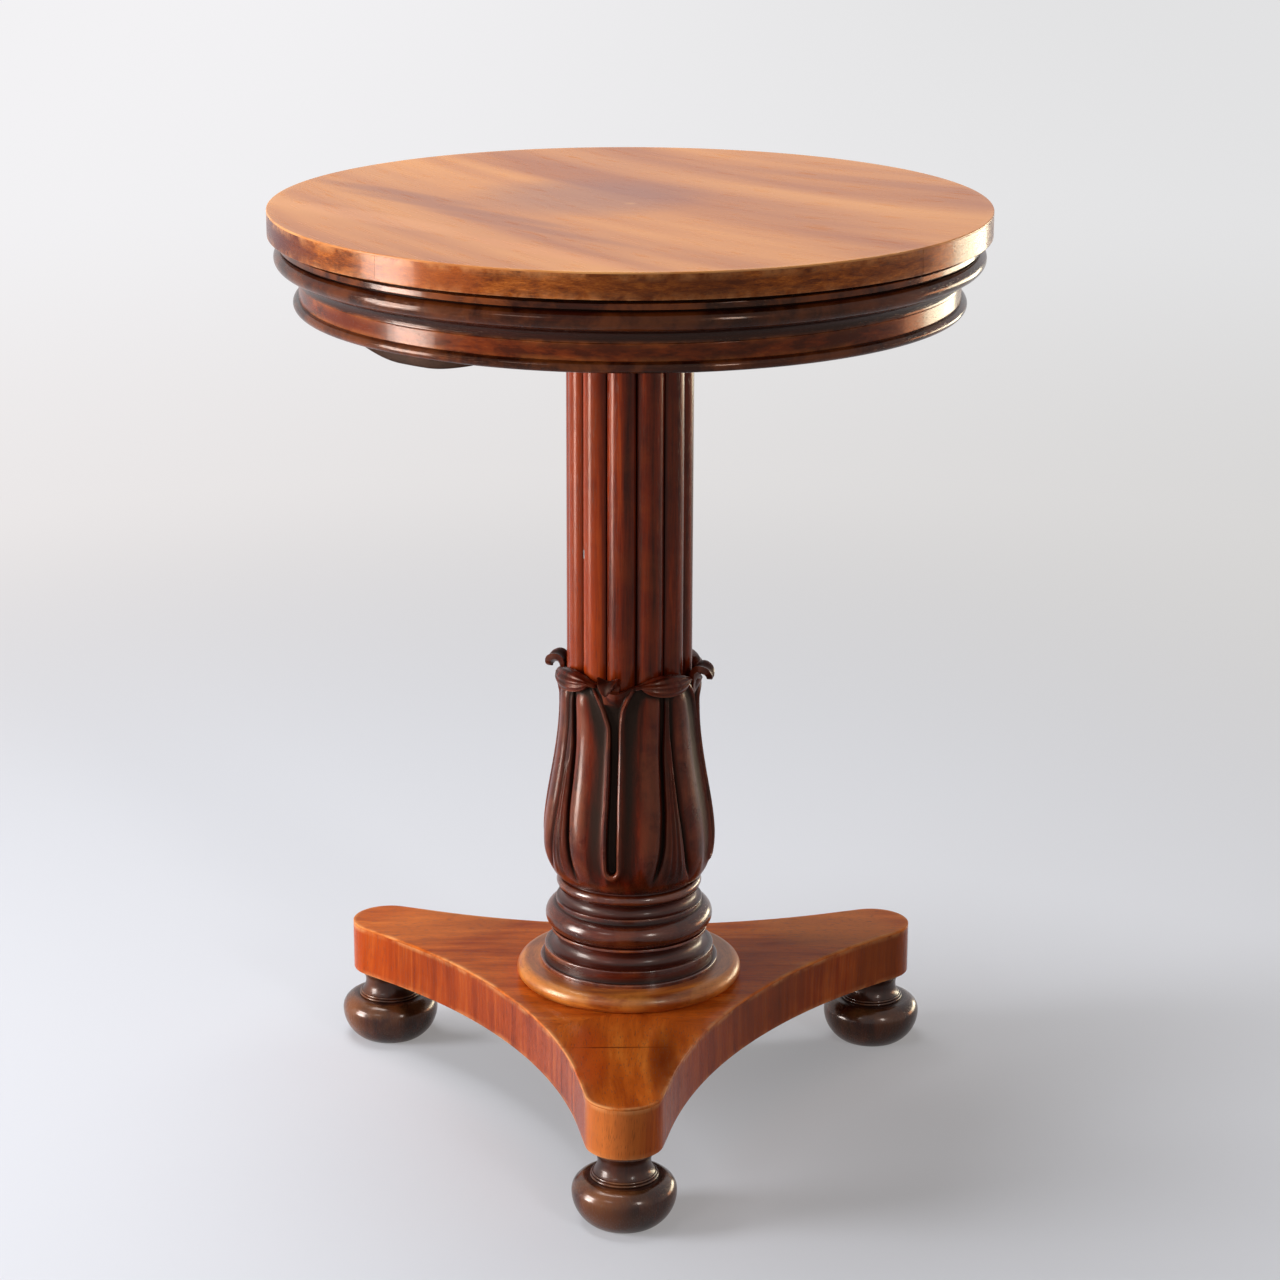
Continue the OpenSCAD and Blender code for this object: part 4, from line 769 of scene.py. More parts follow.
def makeStaves(look):
    for kind, stage in enumerate(("top", "fixed", "middle")):
        name, staves = stage + "Staves", [stage + "_stave_%d" % (n + 1) for n in range(4)]
        low, high = levels(staves[0])
        moves = name in look["pockets"]
        points, proud = staveSection(look, look["slide" if moves else "post"], moves)
        seed = newMesh(name, [(x, y, 0) for x, y in points], [list(range(len(points)))], proud)
        turns = [look["first"] + (kind + 3 * n) * look["pitch"] for n in range(4)]
        made = grow(name, seed, "staves", {
            "Steps": look["steps"], "Bottom": low * mm, "Top": high * mm, "Copies": len(turns),
            "Start": math.radians(turns[0]), "Finish": materials[slots[staves[0]]]})
        if moves:
            # The tongues stop under the board, and the catch has a pocket for each of its stops
            wide = look["tongueTail"] / 2 + look["ease"]
            ends = [(look["tail"] - 2, look["slide"]), (-wide, wide), (high - look["mortise"], high + 1)]
            boxes = [(turn, ends) for turn in turns]
            pocket = look["pockets"][name]
            under, over = levels(pocket["catch"])
            for drop in (0, look["travel"]):
                boxes.append((look["first"] + (kind + 3 * pocket["stave"]) * look["pitch"], [
                    (pocket["from"], look["column"] + 1), pocket["across"],
                    (under - look["clear"] - drop, over + look["clear"] - drop)]))
            cutBoxes(made, boxes)
        seat(made, *staves)


makeStaves(reeds)
print("column made")

# The socle's turned mouldings, from the platform up, each by its radius and height, and the collar round them
socle = {"ring": (71.8, 3.2), "ringArris": 0.9, "step": (68.3, 10.0), "stepArris": (0.3, 0.7),
         "hollow": (57.6, 14.6), "hollowLip": 0.8, "fillet": (63.2, 1.6), "filletArris": 0.5, "round": (67.3, 19.8),
         "roundArc": (-74, 80), "neckFillet": (59.0, 4.2), "neckArris": 0.4, "neck": (53.2, 57.0, 10.4),
         "bead": (58.4, 8.4), "beadArc": (-62, 90), "bore": 30.1, "span": 2.5, "collarSpan": 4.0}


def makeSocle(look):
    level, high = levels("socle")
    r, h = look["ring"]
    corners = [(look["bore"], level), (r, level), (r, level + 0.1), (r, level + h, look["ringArris"])]
    level += h
    r, h = look["step"]
    corners += [(r, level, look["stepArris"][0]), (r, level + h, look["stepArris"][1])]
    level += h
    (narrow, h), wide = look["hollow"], look["fillet"][0]
    start = math.degrees(math.acos((wide - narrow - h / 2) / (h / 2)))
    corners += [(wide + look["hollowLip"], level, 0.2)]
    corners += arc(narrow + h / 2, level + h / 2, h / 2, 360 - start, start, 24)
    level += h
    r, h = look["fillet"]
    corners += [(r, level + h, look["filletArris"])]
    level += h
    r, h = look["round"]
    corners += [(r - h / 2 + 2.4, level + 0.1, 0.2)]
    corners += arc(r - h / 2, level + h / 2, h / 2, *look["roundArc"], 32)
    level += h
    r, h = look["neckFillet"]
    corners += [(r, level), (r, level + h, look["neckArris"])]
    level += h
    narrow, wide, h = look["neck"]
    deep = wide - narrow
    radius = (deep * deep + h * h / 4) / (2 * deep)
    turn = math.degrees(math.asin(h / 2 / radius))
    corners += arc(narrow + radius, level + h / 2, radius, 180 + turn, 180 - turn, 16)
    level += h
    r, h = look["bead"]
    corners += [(r - h / 2 + 1.5, level + 0.15, 0.1)]
    corners += arc(r - h / 2, level + h / 2, h / 2, *look["beadArc"], 16)
    corners += [(r - h / 2, high), (look["bore"], high)]
    turnedPiece("socle", corners, span=look["span"], name="socleTurning")
    low, high = levels("base_collar")
    r, half = reach("base_collar"), (high - low) / 2
    corners = [(look["bore"], low)] + arc(r - half, low + half, half, -90, 90, 24) + [(look["bore"], high)]
    turnedPiece("base_collar", corners, span=look["collarSpan"])


makeSocle(socle)
print("socle made")

# A bun foot: base, bun, ring of two fine beads, neck and fillet, with its pin in the platform
feet = {"base": 25.6, "bun": 40.0, "wide": 25.0, "bunHigh": 37.0, "bunTop": 76, "ring": (26.0, 4.0),
        "ringStep": 1.1, "neck": 20.4, "neckBack": 0.8, "fillet": (24.4, 4.0), "filletArris": 0.5, "pin": 9.0,
        "pinArris": 0.8, "circle": 236.5, "turns": {"front": -90, "right": 30, "left": 150}, "steps": 160,
        "span": 2.5}


def makeFeet(look):
    high = levels("foot_front")[1]
    under = levels("platform_core")[0]
    lower = ((look["bun"] - look["base"]) ** 2 + look["wide"] ** 2) / (2 * (look["bun"] - look["base"]))
    upper = look["bunHigh"] - look["wide"]
    start = math.degrees(math.asin(look["wide"] / lower))
    ring, ringHigh = look["ring"]
    fillet, filletHigh = look["fillet"]
    ringTop = look["bunHigh"] + ringHigh
    # The neck's hollow, which runs from the ring's upper edge to the fillet's lower one
    half = (under - filletHigh - ringTop) / 2
    deep = fillet - look["neckBack"] - look["neck"]
    hollow = (deep * deep + half * half) / (2 * deep)
    turn = math.degrees(math.asin(half / hollow))
    corners = [(0, 0), (look["base"] - 1.5, 0.0), (look["base"] - 0.4, 0.5)]
    corners += arc(look["bun"] - lower, look["wide"], lower, -start + 3, 0, 20)[:-1]
    corners += arc(look["bun"] - upper, look["wide"], upper, 0, look["bunTop"], 20)
    bead = ringHigh / 4
    middle = ring - bead
    corners += [(middle, look["bunHigh"] - 0.1, 0.2)] + arc(middle, look["bunHigh"] + bead, bead, -70, 80, 8)
    corners += arc(middle - look["ringStep"], look["bunHigh"] + 3 * bead, bead, -60, 90, 8)
    corners += arc(look["neck"] + hollow, ringTop + half, hollow, 180 + turn, 180 - turn, 18)
    corners += [(fillet, under - filletHigh + 0.1, look["filletArris"]), (fillet, under)]
    corners += [(look["pin"], under), (look["pin"], high, look["pinArris"]), (0, high)]
    for name, turn in look["turns"].items():
        a = math.radians(turn)
        turnedPiece("foot_" + name, corners, look["steps"], look["span"],
                    centre=(look["circle"] * math.cos(a), look["circle"] * math.sin(a)))


makeFeet(feet)
print("feet made")

# The platform: three arms with round noses between hollow sides, veneered on top and on its edge
platform = {"lobeCircle": 236.5, "lobe": 30.0, "sideInner": 108.0, "side": 500.0, "veneer": 2.0, "arris": 0.7,
            "arrisSteps": (90, 67, 45, 22, 0), "footArris": 0.6, "glued": 0.12, "joints": (-82.0, 62.0),
            "jointGap": 0.02, "least": 0.3, "span": 1.2, "worn": (3.0, 0.15), "flat": 9.0, "tenon": 19.0,
            "first": -90.0, "sidePoints": 120, "flankPoints": 10, "lobePoints": 60}


def towards(angle):
    return np.array([math.cos(angle), math.sin(angle)])


# Points of the platform's outline, the way out at each, and the length along it at the points and the veneer joints
def platformPath(look):
    sideTurn = math.radians(60)
    middle = (look["sideInner"] + look["side"]) * towards(sideTurn)
    centre = np.array([look["lobeCircle"], 0.0])
    toSide = middle - centre
    apart = np.linalg.norm(toSide)
    a = math.atan2(toSide[1], toSide[0]) - math.acos(min(1, (look["side"] + look["lobe"]) / apart))
    flank = math.sqrt(max(0, apart ** 2 - (look["side"] + look["lobe"]) ** 2))
    facing = towards(a)
    lobePoint, sidePoint = centre + look["lobe"] * facing, middle - look["side"] * facing
    mirror = np.array([1, -1])
    points, outward, joints = [], [], []
    for n in range(3):
        t = math.radians(look["first"] + 120 * n)
        turn = np.array([[math.cos(t), -math.sin(t)], [math.sin(t), math.cos(t)]])

        def add(p, way):
            points.append(turn @ p)
            outward.append(turn @ way)

        for share in np.linspace(0, 1, look["flankPoints"], endpoint=False):
            add((sidePoint + (lobePoint - sidePoint) * share) * mirror, facing * mirror)
        for angle in np.linspace(-a, a, look["lobePoints"], endpoint=False):
            add(centre + look["lobe"] * towards(angle), towards(angle))
        for share in np.linspace(0, 1, look["flankPoints"], endpoint=False):
            add(lobePoint + (sidePoint - lobePoint) * share, facing)
        for angle in np.linspace(a, 2 * sideTurn - a, look["sidePoints"], endpoint=False):
            add(middle - look["side"] * towards(angle), towards(angle))
        # A joint's ray from the lobe's centre meets the round or the flank
        for joint in look["joints"]:
            over = abs(math.radians(joint)) - a
            past = look["lobe"] * (math.tan(over) if over > 0 else over)
            joints.append((n, flank - past if joint < 0 else flank + look["lobe"] * 2 * a + past))
    points, outward = np.array(points), np.array(outward)
    length = lengthAlong(np.vstack([points, points[:1]]))
    third = len(points) // 3
    return points, outward, length, [length[n * third] + along for n, along in joints]


# A strip of the edge veneer between two places along the outline
def edgeStrip(name, look, path, start, end, profile):
    points, outward, length = path[:3]
    whole = length[-1]
    inside = length[:-1][(length[:-1] - start) % whole < (end - start) % whole]
    inside = inside[np.argsort((inside - start) % whole)]
    inside = inside[((inside - start) % whole > look["least"]) & ((end - inside) % whole > look["least"])]
    at = np.concatenate([[start], inside, [end]]) % whole
    place, way = (np.stack([np.interp(at, length[:-1], line[:, k], period=whole) for k in (0, 1)], 1)
                  for line in (points, outward))
    cloud = [(*(place[i] - way[i] * inset), z) for i in range(len(at)) for inset, z in profile]
    proud = standing(profile * [-1, 1], look["span"])
    return newMesh(name, cloud, sweptFaces(len(at), len(profile)), np.tile(proud, len(at)))


def makePlatform(look):
    path = platformPath(look)
    points, outward, joints = path[0], path[1], path[3]
    bottom, under = levels("platform_side_veneer_1")
    high = levels("platform_top_veneer")[1]
    veneer = look["veneer"]
    profile = [(0, bottom, look["footArris"]), (0, under, look["glued"]), (veneer, under), (veneer, bottom)]
    profile = held(eased(profile, 3), look["span"])
    for n in range(3):
        left, right, following = joints[2 * n], joints[2 * n + 1], joints[(2 * n + 2) % 6]
        for kind, start, end in (("lobe", left, right), ("side", right, following)):
            node = "platform_%s_veneer_%d" % (kind, n + 1)
            start, end = start + look["jointGap"], end - look["jointGap"]
            mesh = edgeStrip(pieceName(node), look, path, start, end, profile)
            tidy(mesh)
            seat(newPiece(mesh.name, mesh), node)
    # The top veneer: rings from the underside, round the arris and in to the tenon's hole
    arris = look["arris"]
    turns = np.radians(look["arrisSteps"])
    rings = [(0.0, under, 0.0)] + [(arris * (1 - math.sin(t)), high - arris * (1 - math.cos(t)), 1.0) for t in turns]
    rings += [(look["worn"][0], high, look["worn"][1]), (look["flat"], high, 0.0)]
    edge = points - outward * look["flat"]
    hole = look["tenon"] * edge / np.linalg.norm(edge, axis=1)[:, None]
    steps = [(points - outward * inset, z, stands) for inset, z, stands in rings]
    steps += [(edge + (hole - edge) * share, high, 0.0) for share in (0.33, 0.66, 1.0)] + [(hole, under, 0.0)]
    cloud = np.vstack([np.column_stack([plan, np.full(len(points), z)]) for plan, z, stands in steps])
    proud = np.repeat([stands for plan, z, stands in steps], len(points))
    mesh = newMesh("platformTopVeneer", cloud, ringFaces(len(steps), len(points)), proud)
    tidy(mesh)
    seat(newPiece(mesh.name, mesh), "platform_top_veneer")


makePlatform(platform)
print("platform made")

# The carved vase. Heights are above its foot, half widths in degrees from the axis of a slot or of a leaf, depths in
# mm. Fades run from one height to another. Lists of pairs are knots of a smooth curve.
vase = {
    "foot": 54.0, "belly": 68.0, "bellyUp": 35.2, "bellyEase": 0.3, "waist": 54.8, "waistUp": 148.2, "taper": 0.85,
    "rim": 53.4, "rimUp": 184.0, "bore": 50.7, "wall": 0.9, "floor": 7.0, "hole": 30.1, "first": -101.25,
    "columns": (14, 22, 18), "rows": (6, 150, 4, 30), "footUp": 8, "slotUp": 19.5, "slotRound": 6.0, "slotDeep": 5.5,
    "slotWall": (1.0, [0, 0.6, 0.82, 0.93, 1.0, 1.02], [1.0, 1.0, 0.9, 0.55, 0.08, 0]),
    "bead": 1.4, "beadOut": 1.9, "beadHalf": 1.25, "beadFade": (8, 14),
    "slotLeft": [(0, 3.6), (60, 3.6), (80, 3.3), (135, 3.6), (148, 7.2), (158, 11.5), (168, 18), (176, 24)],
    "slotRight": [(0, 3.6), (60, 3.6), (80, 3.3), (135, 3.4), (149, 4.4), (160, 8), (168, 12.5), (176, 18)],
    "crease": [(0, 17.5), (10, 15.7), (20, 12.5), (31, 10), (43, 8.3), (55, 7.3), (70, 6), (85, 5.5), (100, 5),
        (115, 4.5), (135, 3), (155, 2.5), (184, 2.5)],
    "leaf": [(0, 0.2), (0.12, -0.6), (0.2, -0.9), (0.32, -0.6), (0.55, 1.2), (0.7, 1.5), (0.84, 0.3), (0.93, -2.2),
        (1, -4.8)],
    "panel": [(0, -4.8), (0.1, -2.4), (0.24, -0.6), (0.5, 0.2), (1, 0.3)], "carvedFade": (4, 26),
    "rib": 0.7, "ribs": ((0.0, 0.10), (0.42, 0.07)), "ribFade": (88, 112),
    "flare": 8.0, "flareFade": (148, 171), "flareHalf": 10.0, "flareReach": 1.4,
    "rimLine": [(0, 167.0), (8, 168.5), (14, 172.0), (26, 176.5), (45, 178.5)], "rimAt": 168.0,
    "curl": 8.5, "curlHalf": 29.0, "curlRound": (0.55, 0.42, 0.62), "folds": (0.4, 3.2), "least": 0.05,
    "curlLow": 162.5, "curlRise": (5, 20), "curlHigh": 4, "curlLip": 0.9, "lipUp": 1.0, "undercut": (1.2, 5.0),
    "blur": (9, 4.5), "proudHigh": 0.9, "carved": 1.2, "dirtAndShadeDeep": 2.0, "shade": 0.55, "shadeFade": (112, 160),
    "crisp": 50}


# A smooth curve through knots that makes no waves of its own
def through(knots, x):
    at, height = np.array(knots, float).T
    slope = np.diff(height) / np.diff(at)
    lean = np.zeros(len(at))
    both = slope[:-1] * slope[1:]
    lean[1:-1] = np.where(both > 0, 2 * both / np.where(both > 0, slope[:-1] + slope[1:], 1), 0)
    x = np.clip(x, at[0], at[-1])
    i = np.clip(np.searchsorted(at, x) - 1, 0, len(at) - 2)
    wide = at[i + 1] - at[i]
    t = (x - at[i]) / wide
    return (height[i] * (1 + 2 * t) * (1 - t) ** 2 + lean[i] * wide * t * (1 - t) ** 2
            + height[i + 1] * t * t * (3 - 2 * t) + lean[i + 1] * wide * t * t * (t - 1))


def ramp(x, start, end):
    t = np.clip((x - start) / (end - start), 0, 1)
    return t * t * (3 - 2 * t)


def vaseProfile(look, up):
    foot, belly, waist, low = (look[key] for key in ("foot", "belly", "waist", "bellyUp"))
    bulge = np.sqrt(np.clip(1 - ((low - up) / (low + look["bellyEase"])) ** 2, 0, 1))
    share = np.clip((up - low) / (look["waistUp"] - low), 0, 1)
    upper = waist + (belly - waist) * (1 + np.cos(np.pi * share ** look["taper"])) / 2
    upper += (look["rim"] - waist) * ramp(up, look["waistUp"], look["rimUp"])
    return np.where(up < low, foot + (belly - foot) * bulge, upper)


# The half widths of the slot and of the crease beside it
def vaseLines(look, up, right):
    edge = np.where(right, through(look["slotRight"], up), through(look["slotLeft"], up))
    return edge, 45 - through(look["crease"], up)


def vaseRadius(look, s, up, right, low, rim):
    plain = vaseProfile(look, up)
    edge, crease = vaseLines(look, up, right)
    below = np.clip((look["slotUp"] + look["slotRound"] - up) / look["slotRound"], 0, None)
    rho = np.sqrt((s / edge) ** 2 + below ** 2)
    # The slot has steep walls, and a bead round it
    spare, places, depths = look["slotWall"]
    cut = -np.minimum(look["slotDeep"], plain - look["bore"] - spare) * np.interp(rho, places, depths)
    out = (rho - 1) * np.radians(edge) * plain
    bead = np.exp(-((out - look["beadOut"]) / look["beadHalf"]) ** 2)
    cut += look["bead"] * bead * (rho > 1) * ramp(up, *look["beadFade"])
    # The leaf beside it, its dark crease, and the panel between two leaves
    leafCut = through(look["leaf"], np.clip((s - edge) / (crease - edge), 0, 1)) * (rho > 1)
    panelCut = through(look["panel"], np.clip((s - crease) / (45 - crease), 0, 1))
    fromAxis = 45 - s
    for place, half in look["ribs"]:
        rib = np.exp(-((fromAxis / (45 - crease) - place) / half) ** 2)
        panelCut = panelCut + look["rib"] * rib * (1 - ramp(up, *look["ribFade"]))
    cut = cut + np.where(s > crease, panelCut, leafCut) * ramp(up, *look["carvedFade"])
    # The small leaf in the slot leans outwards at the top
    lean = np.exp(-(s / look["flareHalf"]) ** 2) * (s < edge * look["flareReach"])
    cut += look["flare"] * ramp(up, *look["flareFade"]) * lean
    # The great leaves' curled ends, with a hollow under them
    g = np.sqrt(np.clip(1 - (fromAxis / look["curlHalf"]) ** 2, 0, 1))
    w = (up - low) / np.maximum(rim - low, 1)
    fall, middle, half = look["curlRound"]
    fold, folds = look["folds"]
    roll = look["curl"] * g * (1 - fall * ((w - middle) / half) ** 2) + fold * g * np.cos(2 * np.pi * folds * w)
    lip = ramp(up, low, low + look["curlLip"])
    deep, high = look["undercut"]
    hollow = -deep * np.exp(-((low - up) / high) ** 2) * (up < low) * g
    curled = g > look["least"]
    return np.maximum(plain + cut * (1 - lip * curled) + roll * lip * curled + hollow, look["bore"] + look["wall"])


def makeVase(look):
    low = levels("lotus_vase")[0]
    # Each half column keeps its place between the slot's axis, the slot's edge, the crease and the leaf's axis
    half = sum(look["columns"])
    inSlot, inLeaf, inPanel = (np.linspace(0, 1, n, endpoint=False) for n in look["columns"])
    share = np.concatenate([inSlot ** 0.8, (1 - np.cos(np.pi * inLeaf)) / 2, inPanel ** 1.3, [1.0]])
    zone = np.append(np.repeat([0, 1, 2], look["columns"]), 2)
    right = np.arange(2 * half) < half
    order = np.concatenate([np.arange(half), np.arange(half, 0, -1)])
    zone, share = zone[order], share[order]

    def across(up):
        edge, crease = vaseLines(look, up, right)
        starts, ends = (0 * edge, edge, crease), (edge, crease, 45 + 0 * edge)
        return np.choose(zone, starts) + (np.choose(zone, ends) - np.choose(zone, starts)) * share

    top = across(np.full(2 * half, look["rimAt"]))
    rim = through(look["rimLine"], top)
    rise, wide = look["curlRise"]
    lip = np.minimum(look["curlLow"] + rise * ((45 - top) / wide) ** 2, rim - look["curlHigh"])
    bounds = [0 * rim, look["footUp"] + 0 * rim, lip, lip + look["lipUp"], rim]
    up = np.vstack([start + (end - start) * np.linspace(0, 1, n, endpoint=end is rim)[:, None]
                    for n, start, end in zip(look["rows"], bounds, bounds[1:])])
    s = np.array([across(row) for row in up])
    r = vaseRadius(look, s, up, right[None], lip[None], rim[None])
    azimuth = np.concatenate([look["first"] + 90 * k + np.where(right[None], s, 90 - s) for k in range(4)], axis=1)
    up, r = np.tile(up, 4), np.tile(r, 4)
    # How far each point stands out of the mean of its surroundings
    mean = r.copy()
    count, soft = look["blur"]
    for axis in (0, 1):
        total, weight = np.zeros_like(mean), 0
        for k in range(-count, count + 1):
            g = math.exp(-(k / soft) ** 2)
            moved = np.roll(mean, k, 1) if axis else mean[np.clip(np.arange(len(mean)) + k, 0, len(mean) - 1)]
            total, weight = total + g * moved, weight + g
        mean = total / weight
    # Dirt and painted shade lie in all that is cut in deeper than the plain shape
    sunk = np.minimum(0, (r - vaseProfile(look, up) + look["carved"]) / look["dirtAndShadeDeep"])
    # Painted shade darkens the leaves just below their curled ends
    sunk = sunk - look["shade"] * ramp(up, *look["shadeFade"]) * (up < np.tile(lip, 4))
    proud = np.clip((r - mean) / look["proudHigh"] + sunk, -1, 1)
    # Over the rim and down the bore
    bore, hole, floor = look["bore"], look["hole"], look["floor"]
    tail = [(r[-1] - 1.2, up[-1] + 0.5, 0.6), (bore + 0.8, up[-1] + 0.3, 0.2), (bore, up[-1] - 0.8, -0.5),
            (bore, floor, -1), (hole, floor, -1), (hole, 0, -1)]
    r, up, proud = (np.vstack([grid] + [step[k] + 0 * grid[-1] for step in tail])
                    for k, grid in enumerate((r, up, proud)))
    azimuth = np.radians(np.vstack([azimuth] + [azimuth[-1:]] * len(tail)))
    cloud = np.stack([r * np.cos(azimuth), r * np.sin(azimuth), low + up], -1).reshape(-1, 3)
    mesh = newMesh("lotusVase", cloud, ringFaces(*r.shape), proud.ravel())
    tidy(mesh, look["crisp"])
    seat(newPiece(mesh.name, mesh), "lotus_vase")


makeVase(vase)
print("vase made")

# The small leaves' ends, which rise out of the slots, fold outwards and hang down in a point. The path is by radius,
# height, half width and thickness. The leaf lies flat against the column below and is folded along its middle above.
tips = {"path": [
            (53.0, 157, 5.0, 3.0), (53.6, 164, 6.4, 3.4), (55.0, 169.6, 7.6, 4.6), (57.0, 173.4, 8.4, 5.6),
            (59.8, 174.9, 8.6, 6.6), (62.8, 174.2, 7.4, 6.8), (64.8, 172.2, 5.4, 6.2), (65.7, 169.8, 3.0, 5.4),
            (65.7, 167.8, 0.8, 4.4)],
        "first": -105.5, "fold": -0.42, "foldFade": (0.25, 0.6), "foldSoft": (0.02, 0.14), "thin": 0.25,
        "wrap": 0.7, "outer": (0.4, 0.6), "inner": (-0.6, 1.5), "steps": 48, "across": 8, "crisp": 50}


def makeTips(look):
    low = levels("lotus_vase")[0]
    knots = np.array(look["path"], float)
    at = lengthAlong(knots[:, :2])
    t = np.linspace(0, at[-1], look["steps"])
    r, up, half, thick = (through(list(zip(at, knots[:, k])), t) for k in range(4))
    along = np.stack([np.gradient(r, t), np.gradient(up, t)], 1)
    along /= np.linalg.norm(along, axis=1)[:, None]
    fold = look["fold"] * ramp(t / at[-1], *look["foldFade"])
    soft, back = look["foldSoft"]
    u = np.linspace(-1, 1, look["across"] + 1)
    cloud, proud = [], []
    for k in range(len(t)):
        # The outer face is the one that looks away from the axis before the fold
        normal = np.array([along[k, 1], -along[k, 0]])
        for sign, row, (flat, rim), power in ((1, u, look["outer"], 3), (-1, u[::-1], look["inner"], 4)):
            for x in row:
                lift = fold[k] * half[k] * (math.sqrt(x * x + soft) - back)
                offset = lift + sign * thick[k] / 2 * (1 - look["thin"] * abs(x) ** 3)
                y = x * half[k]
                radius = r[k] + normal[0] * offset
                bent = radius - y * y / 2 / max(radius, 1) * look["wrap"]
                cloud.append((bent, y, low + up[k] + normal[1] * offset))
                # The inner face lies low and darkens with dirt and painted shade; the outer face and the edges stand
                # proud and look worn
                proud.append(flat + rim * abs(x) ** power)
    seed = newMesh("lotusTips", cloud, sweptFaces(len(t), 2 * len(u)), proud)
    made = grow("lotusTips", seed, "ring", {
        "Copies": 4, "Start": math.radians(look["first"]), "Finish": materials[slots["lotus_vase"]]}, look["crisp"])
    seat(made, "lotus_vase")


makeTips(tips)
print("leaf tips made")

# Fittings keep their solids' shapes, with arrises softened by so many mm
softened = {"lower_catch_bar": 0.5, "lower_catch_grip": 1.4, "lower_catch_cleat_inner": 0.5,
            "lower_catch_cleat_outer": 0.5, "upper_catch_bolt": 0.25, "upper_catch_button": 0.6,
            "upper_catch_keeper_inner": 0.25, "upper_catch_keeper_outer": 0.25, "cleat_screw_1": 0.15,
            "cleat_screw_2": 0.15, "cleat_screw_3": 0.15, "cleat_screw_4": 0.15}


def soften(node, radius):
    mesh = nodes[node].data.copy()
    work = bmesh.new()
    work.from_mesh(mesh)
    bmesh.ops.remove_doubles(work, verts=work.verts, dist=1e-6)
    bmesh.ops.dissolve_limit(work, angle_limit=math.radians(1), verts=work.verts, edges=work.edges)
    sharp = [e for e in work.edges if len(e.link_faces) == 2 and e.calc_face_angle() > math.radians(30)]
    bmesh.ops.bevel(work, geom=sharp, offset=radius * mm, segments=3, profile=0.5, affect="EDGES",
                    clamp_overlap=True)
    work.to_mesh(mesh)
    work.free()
    mesh.name = pieceName(node)
    mesh.materials.clear()
    tidy(mesh)
    seat(newPiece(mesh.name, mesh), node)


for node, radius in softened.items():
    soften(node, radius)
for name, solid in nodes.items():
    if not solid.hide_render:
        for place in solid.material_slots:
            place.material = materials[slots[name]]
print("fittings softened, solids finished")

# A plain pale floor and soft light. On the left stand a tall window and a low soft light, on the right a low warm
# pair, in front two small lamps, and a wide one hangs overhead. The floor shows its own pale tone to the camera and,
# in part, to what it mirrors in, and throws back a duller one. Lengths are in metres, turns in degrees.
studio = {
    "floor": (221, 226, 238), "bounce": (130, 128, 128), "reach": 90.0, "drop": 0.0002, "fill": 0.1,
    "far": [(238, 234, 234), (211, 210, 209), (243, 242, 244), (226, 226, 227)], "side": (-1.6, 1.6),
    "farFade": (1.5, 4.5), "near": 0.8, "fade": 2.1, "horizon": (10, 50), "lift": 0.3, "mirrored": 0.7,
    "aim": (0, 0, 0.42), "lamps": {
        # Turn round the table, distance, height, size, power and tone, and where one is aimed if not at its middle
        "windowLeft": (-166, 2.6, 0.72, (0.95, 1.3), 74, (1, 0.985, 0.97)),
        "lowLeft": (-166, 1.7, 0.02, (0.5, 1.5), 34, (1, 0.97, 0.94), (-1.2, -0.26, 1.0)),
        "windowRight": (41.5, 2.62, 0.26, (1.35, 0.5), 20, (1, 0.88, 0.62)),
        "warmRight": (20.3, 2.64, 0.26, (0.57, 0.5), 5, (1, 0.42, 0.18)),
        "frontRight": (-58, 3.0, 1.5, (0.4, 0.8), 16, (1, 0.97, 0.92)),
        "front": (-125, 3.2, 2.2, (0.9, 0.5), 6, (1, 1, 1)),
        "overhead": (150, 0.7, 3.0, (1.6, 1.6), 60, (1, 0.98, 0.94))}}


# How much of the shown tones a ray sees: all of it from the camera and through glass, a part in a reflection
def seenShare(w, mirrored):
    camera, glossy, glass = (w.node("ShaderNodeLightPath", None, None, "Is %s Ray" % kind)
                             for kind in ("Camera", "Glossy", "Transmission"))
    return (camera + glossy * mirrored + glass).least(1.0)


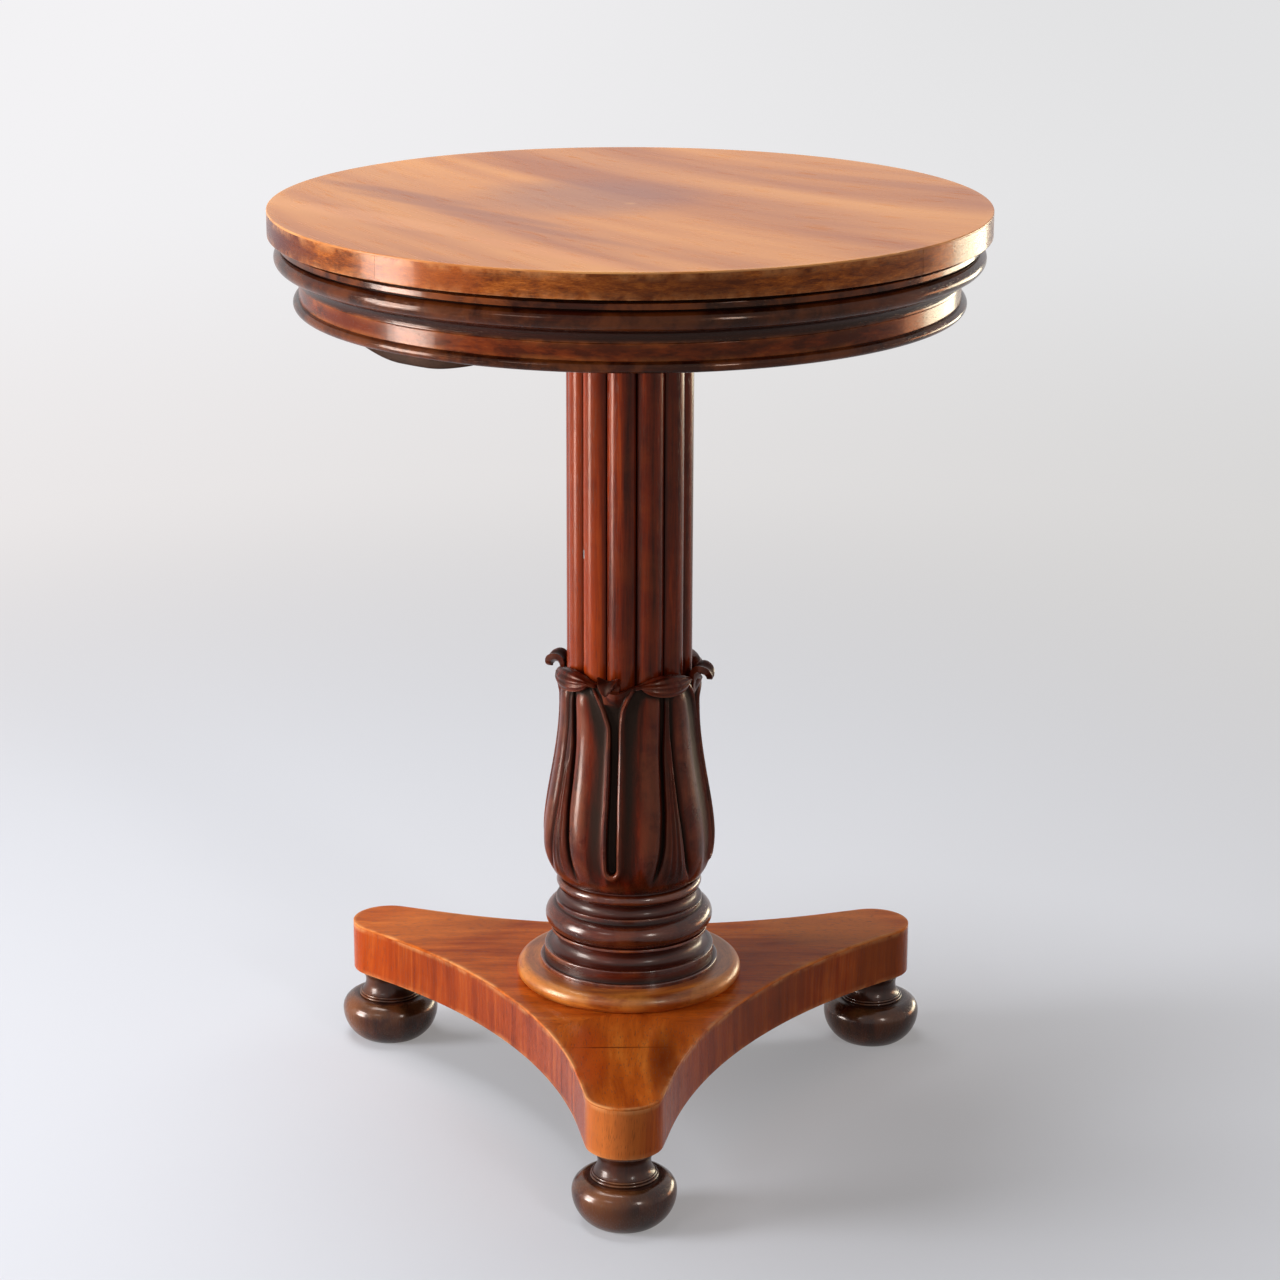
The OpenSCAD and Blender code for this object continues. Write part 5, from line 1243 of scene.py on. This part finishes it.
def makeStudio(look):
    mesh = bpy.data.meshes.new("studioFloor")
    work = bmesh.new()
    bmesh.ops.create_circle(work, cap_ends=True, segments=96, radius=look["reach"])
    work.to_mesh(mesh)
    work.free()
    mesh.transform(Matrix.Translation((0, 0, -look["drop"])))
    floor = newPiece("studioFloor", mesh)
    made, w = newMaterial("studioFloor")
    place = w.node("ShaderNodeTexCoord", None, None, "Object")
    distance = w.node("ShaderNodeVectorMath", {"operation": "LENGTH"}, {0: place}, "Value")
    seen = seenShare(w, look["mirrored"])
    # Painted light: near the table a share of the floor glows, which lightens the shadows on it, and further out it
    # glows wholly
    away = distance.rise(look["near"], look["fade"]) * (1 - look["lift"]) + look["lift"]
    plain = w.node("ShaderNodeBsdfDiffuse", None, {"Color": seen.mix(tone(*look["bounce"]), tone(*look["floor"]))})
    # Painted light on the glowing far floor: paler further out, and a little darker to the right
    far = [tone(*shade) for shade in look["far"]]
    side = place.parts()[0].rise(*look["side"])
    pale = distance.rise(*look["farFade"]).mix(side.mix(*far[:2]), side.mix(*far[2:]))
    pale = distance.rise(*look["horizon"]).mix(pale, far[2])
    glow = w.node("ShaderNodeEmission", None, {"Color": pale, "Strength": 1.0})
    both = w.node("ShaderNodeMixShader", None, {0: seen * away, 1: plain, 2: glow})
    w.node("ShaderNodeOutputMaterial", None, {"Surface": both})
    mesh.materials.append(made)
    world = bpy.data.worlds.new("studio")
    world.use_nodes = True
    world.node_tree.nodes.clear()
    w = Wire(world.node_tree)
    light = w.node("ShaderNodeBackground", None, {"Color": (1, 1, 1, 1), "Strength": look["fill"]})
    shown = w.node("ShaderNodeBackground", None, {"Color": far[2], "Strength": 1.0})
    both = w.node("ShaderNodeMixShader", None, {0: seenShare(w, look["mirrored"]), 1: light, 2: shown})
    w.node("ShaderNodeOutputWorld", None, {"Surface": both})
    scene.world = world
    for name, (turn, away, high, size, power, shade, *aim) in look["lamps"].items():
        data = bpy.data.lights.new(name, "AREA")
        data.shape, data.size, data.size_y = "RECTANGLE", *size
        data.energy, data.color = power, shade
        made = newPiece(name, data)
        a = math.radians(turn)
        made.location = (away * math.cos(a), away * math.sin(a), high)
        way = Vector(aim[0] if aim else look["aim"]) - made.location
        made.rotation_euler = way.to_track_quat("-Z", "Y").to_euler()
        made.visible_camera = False


makeStudio(studio)
print("studio made")
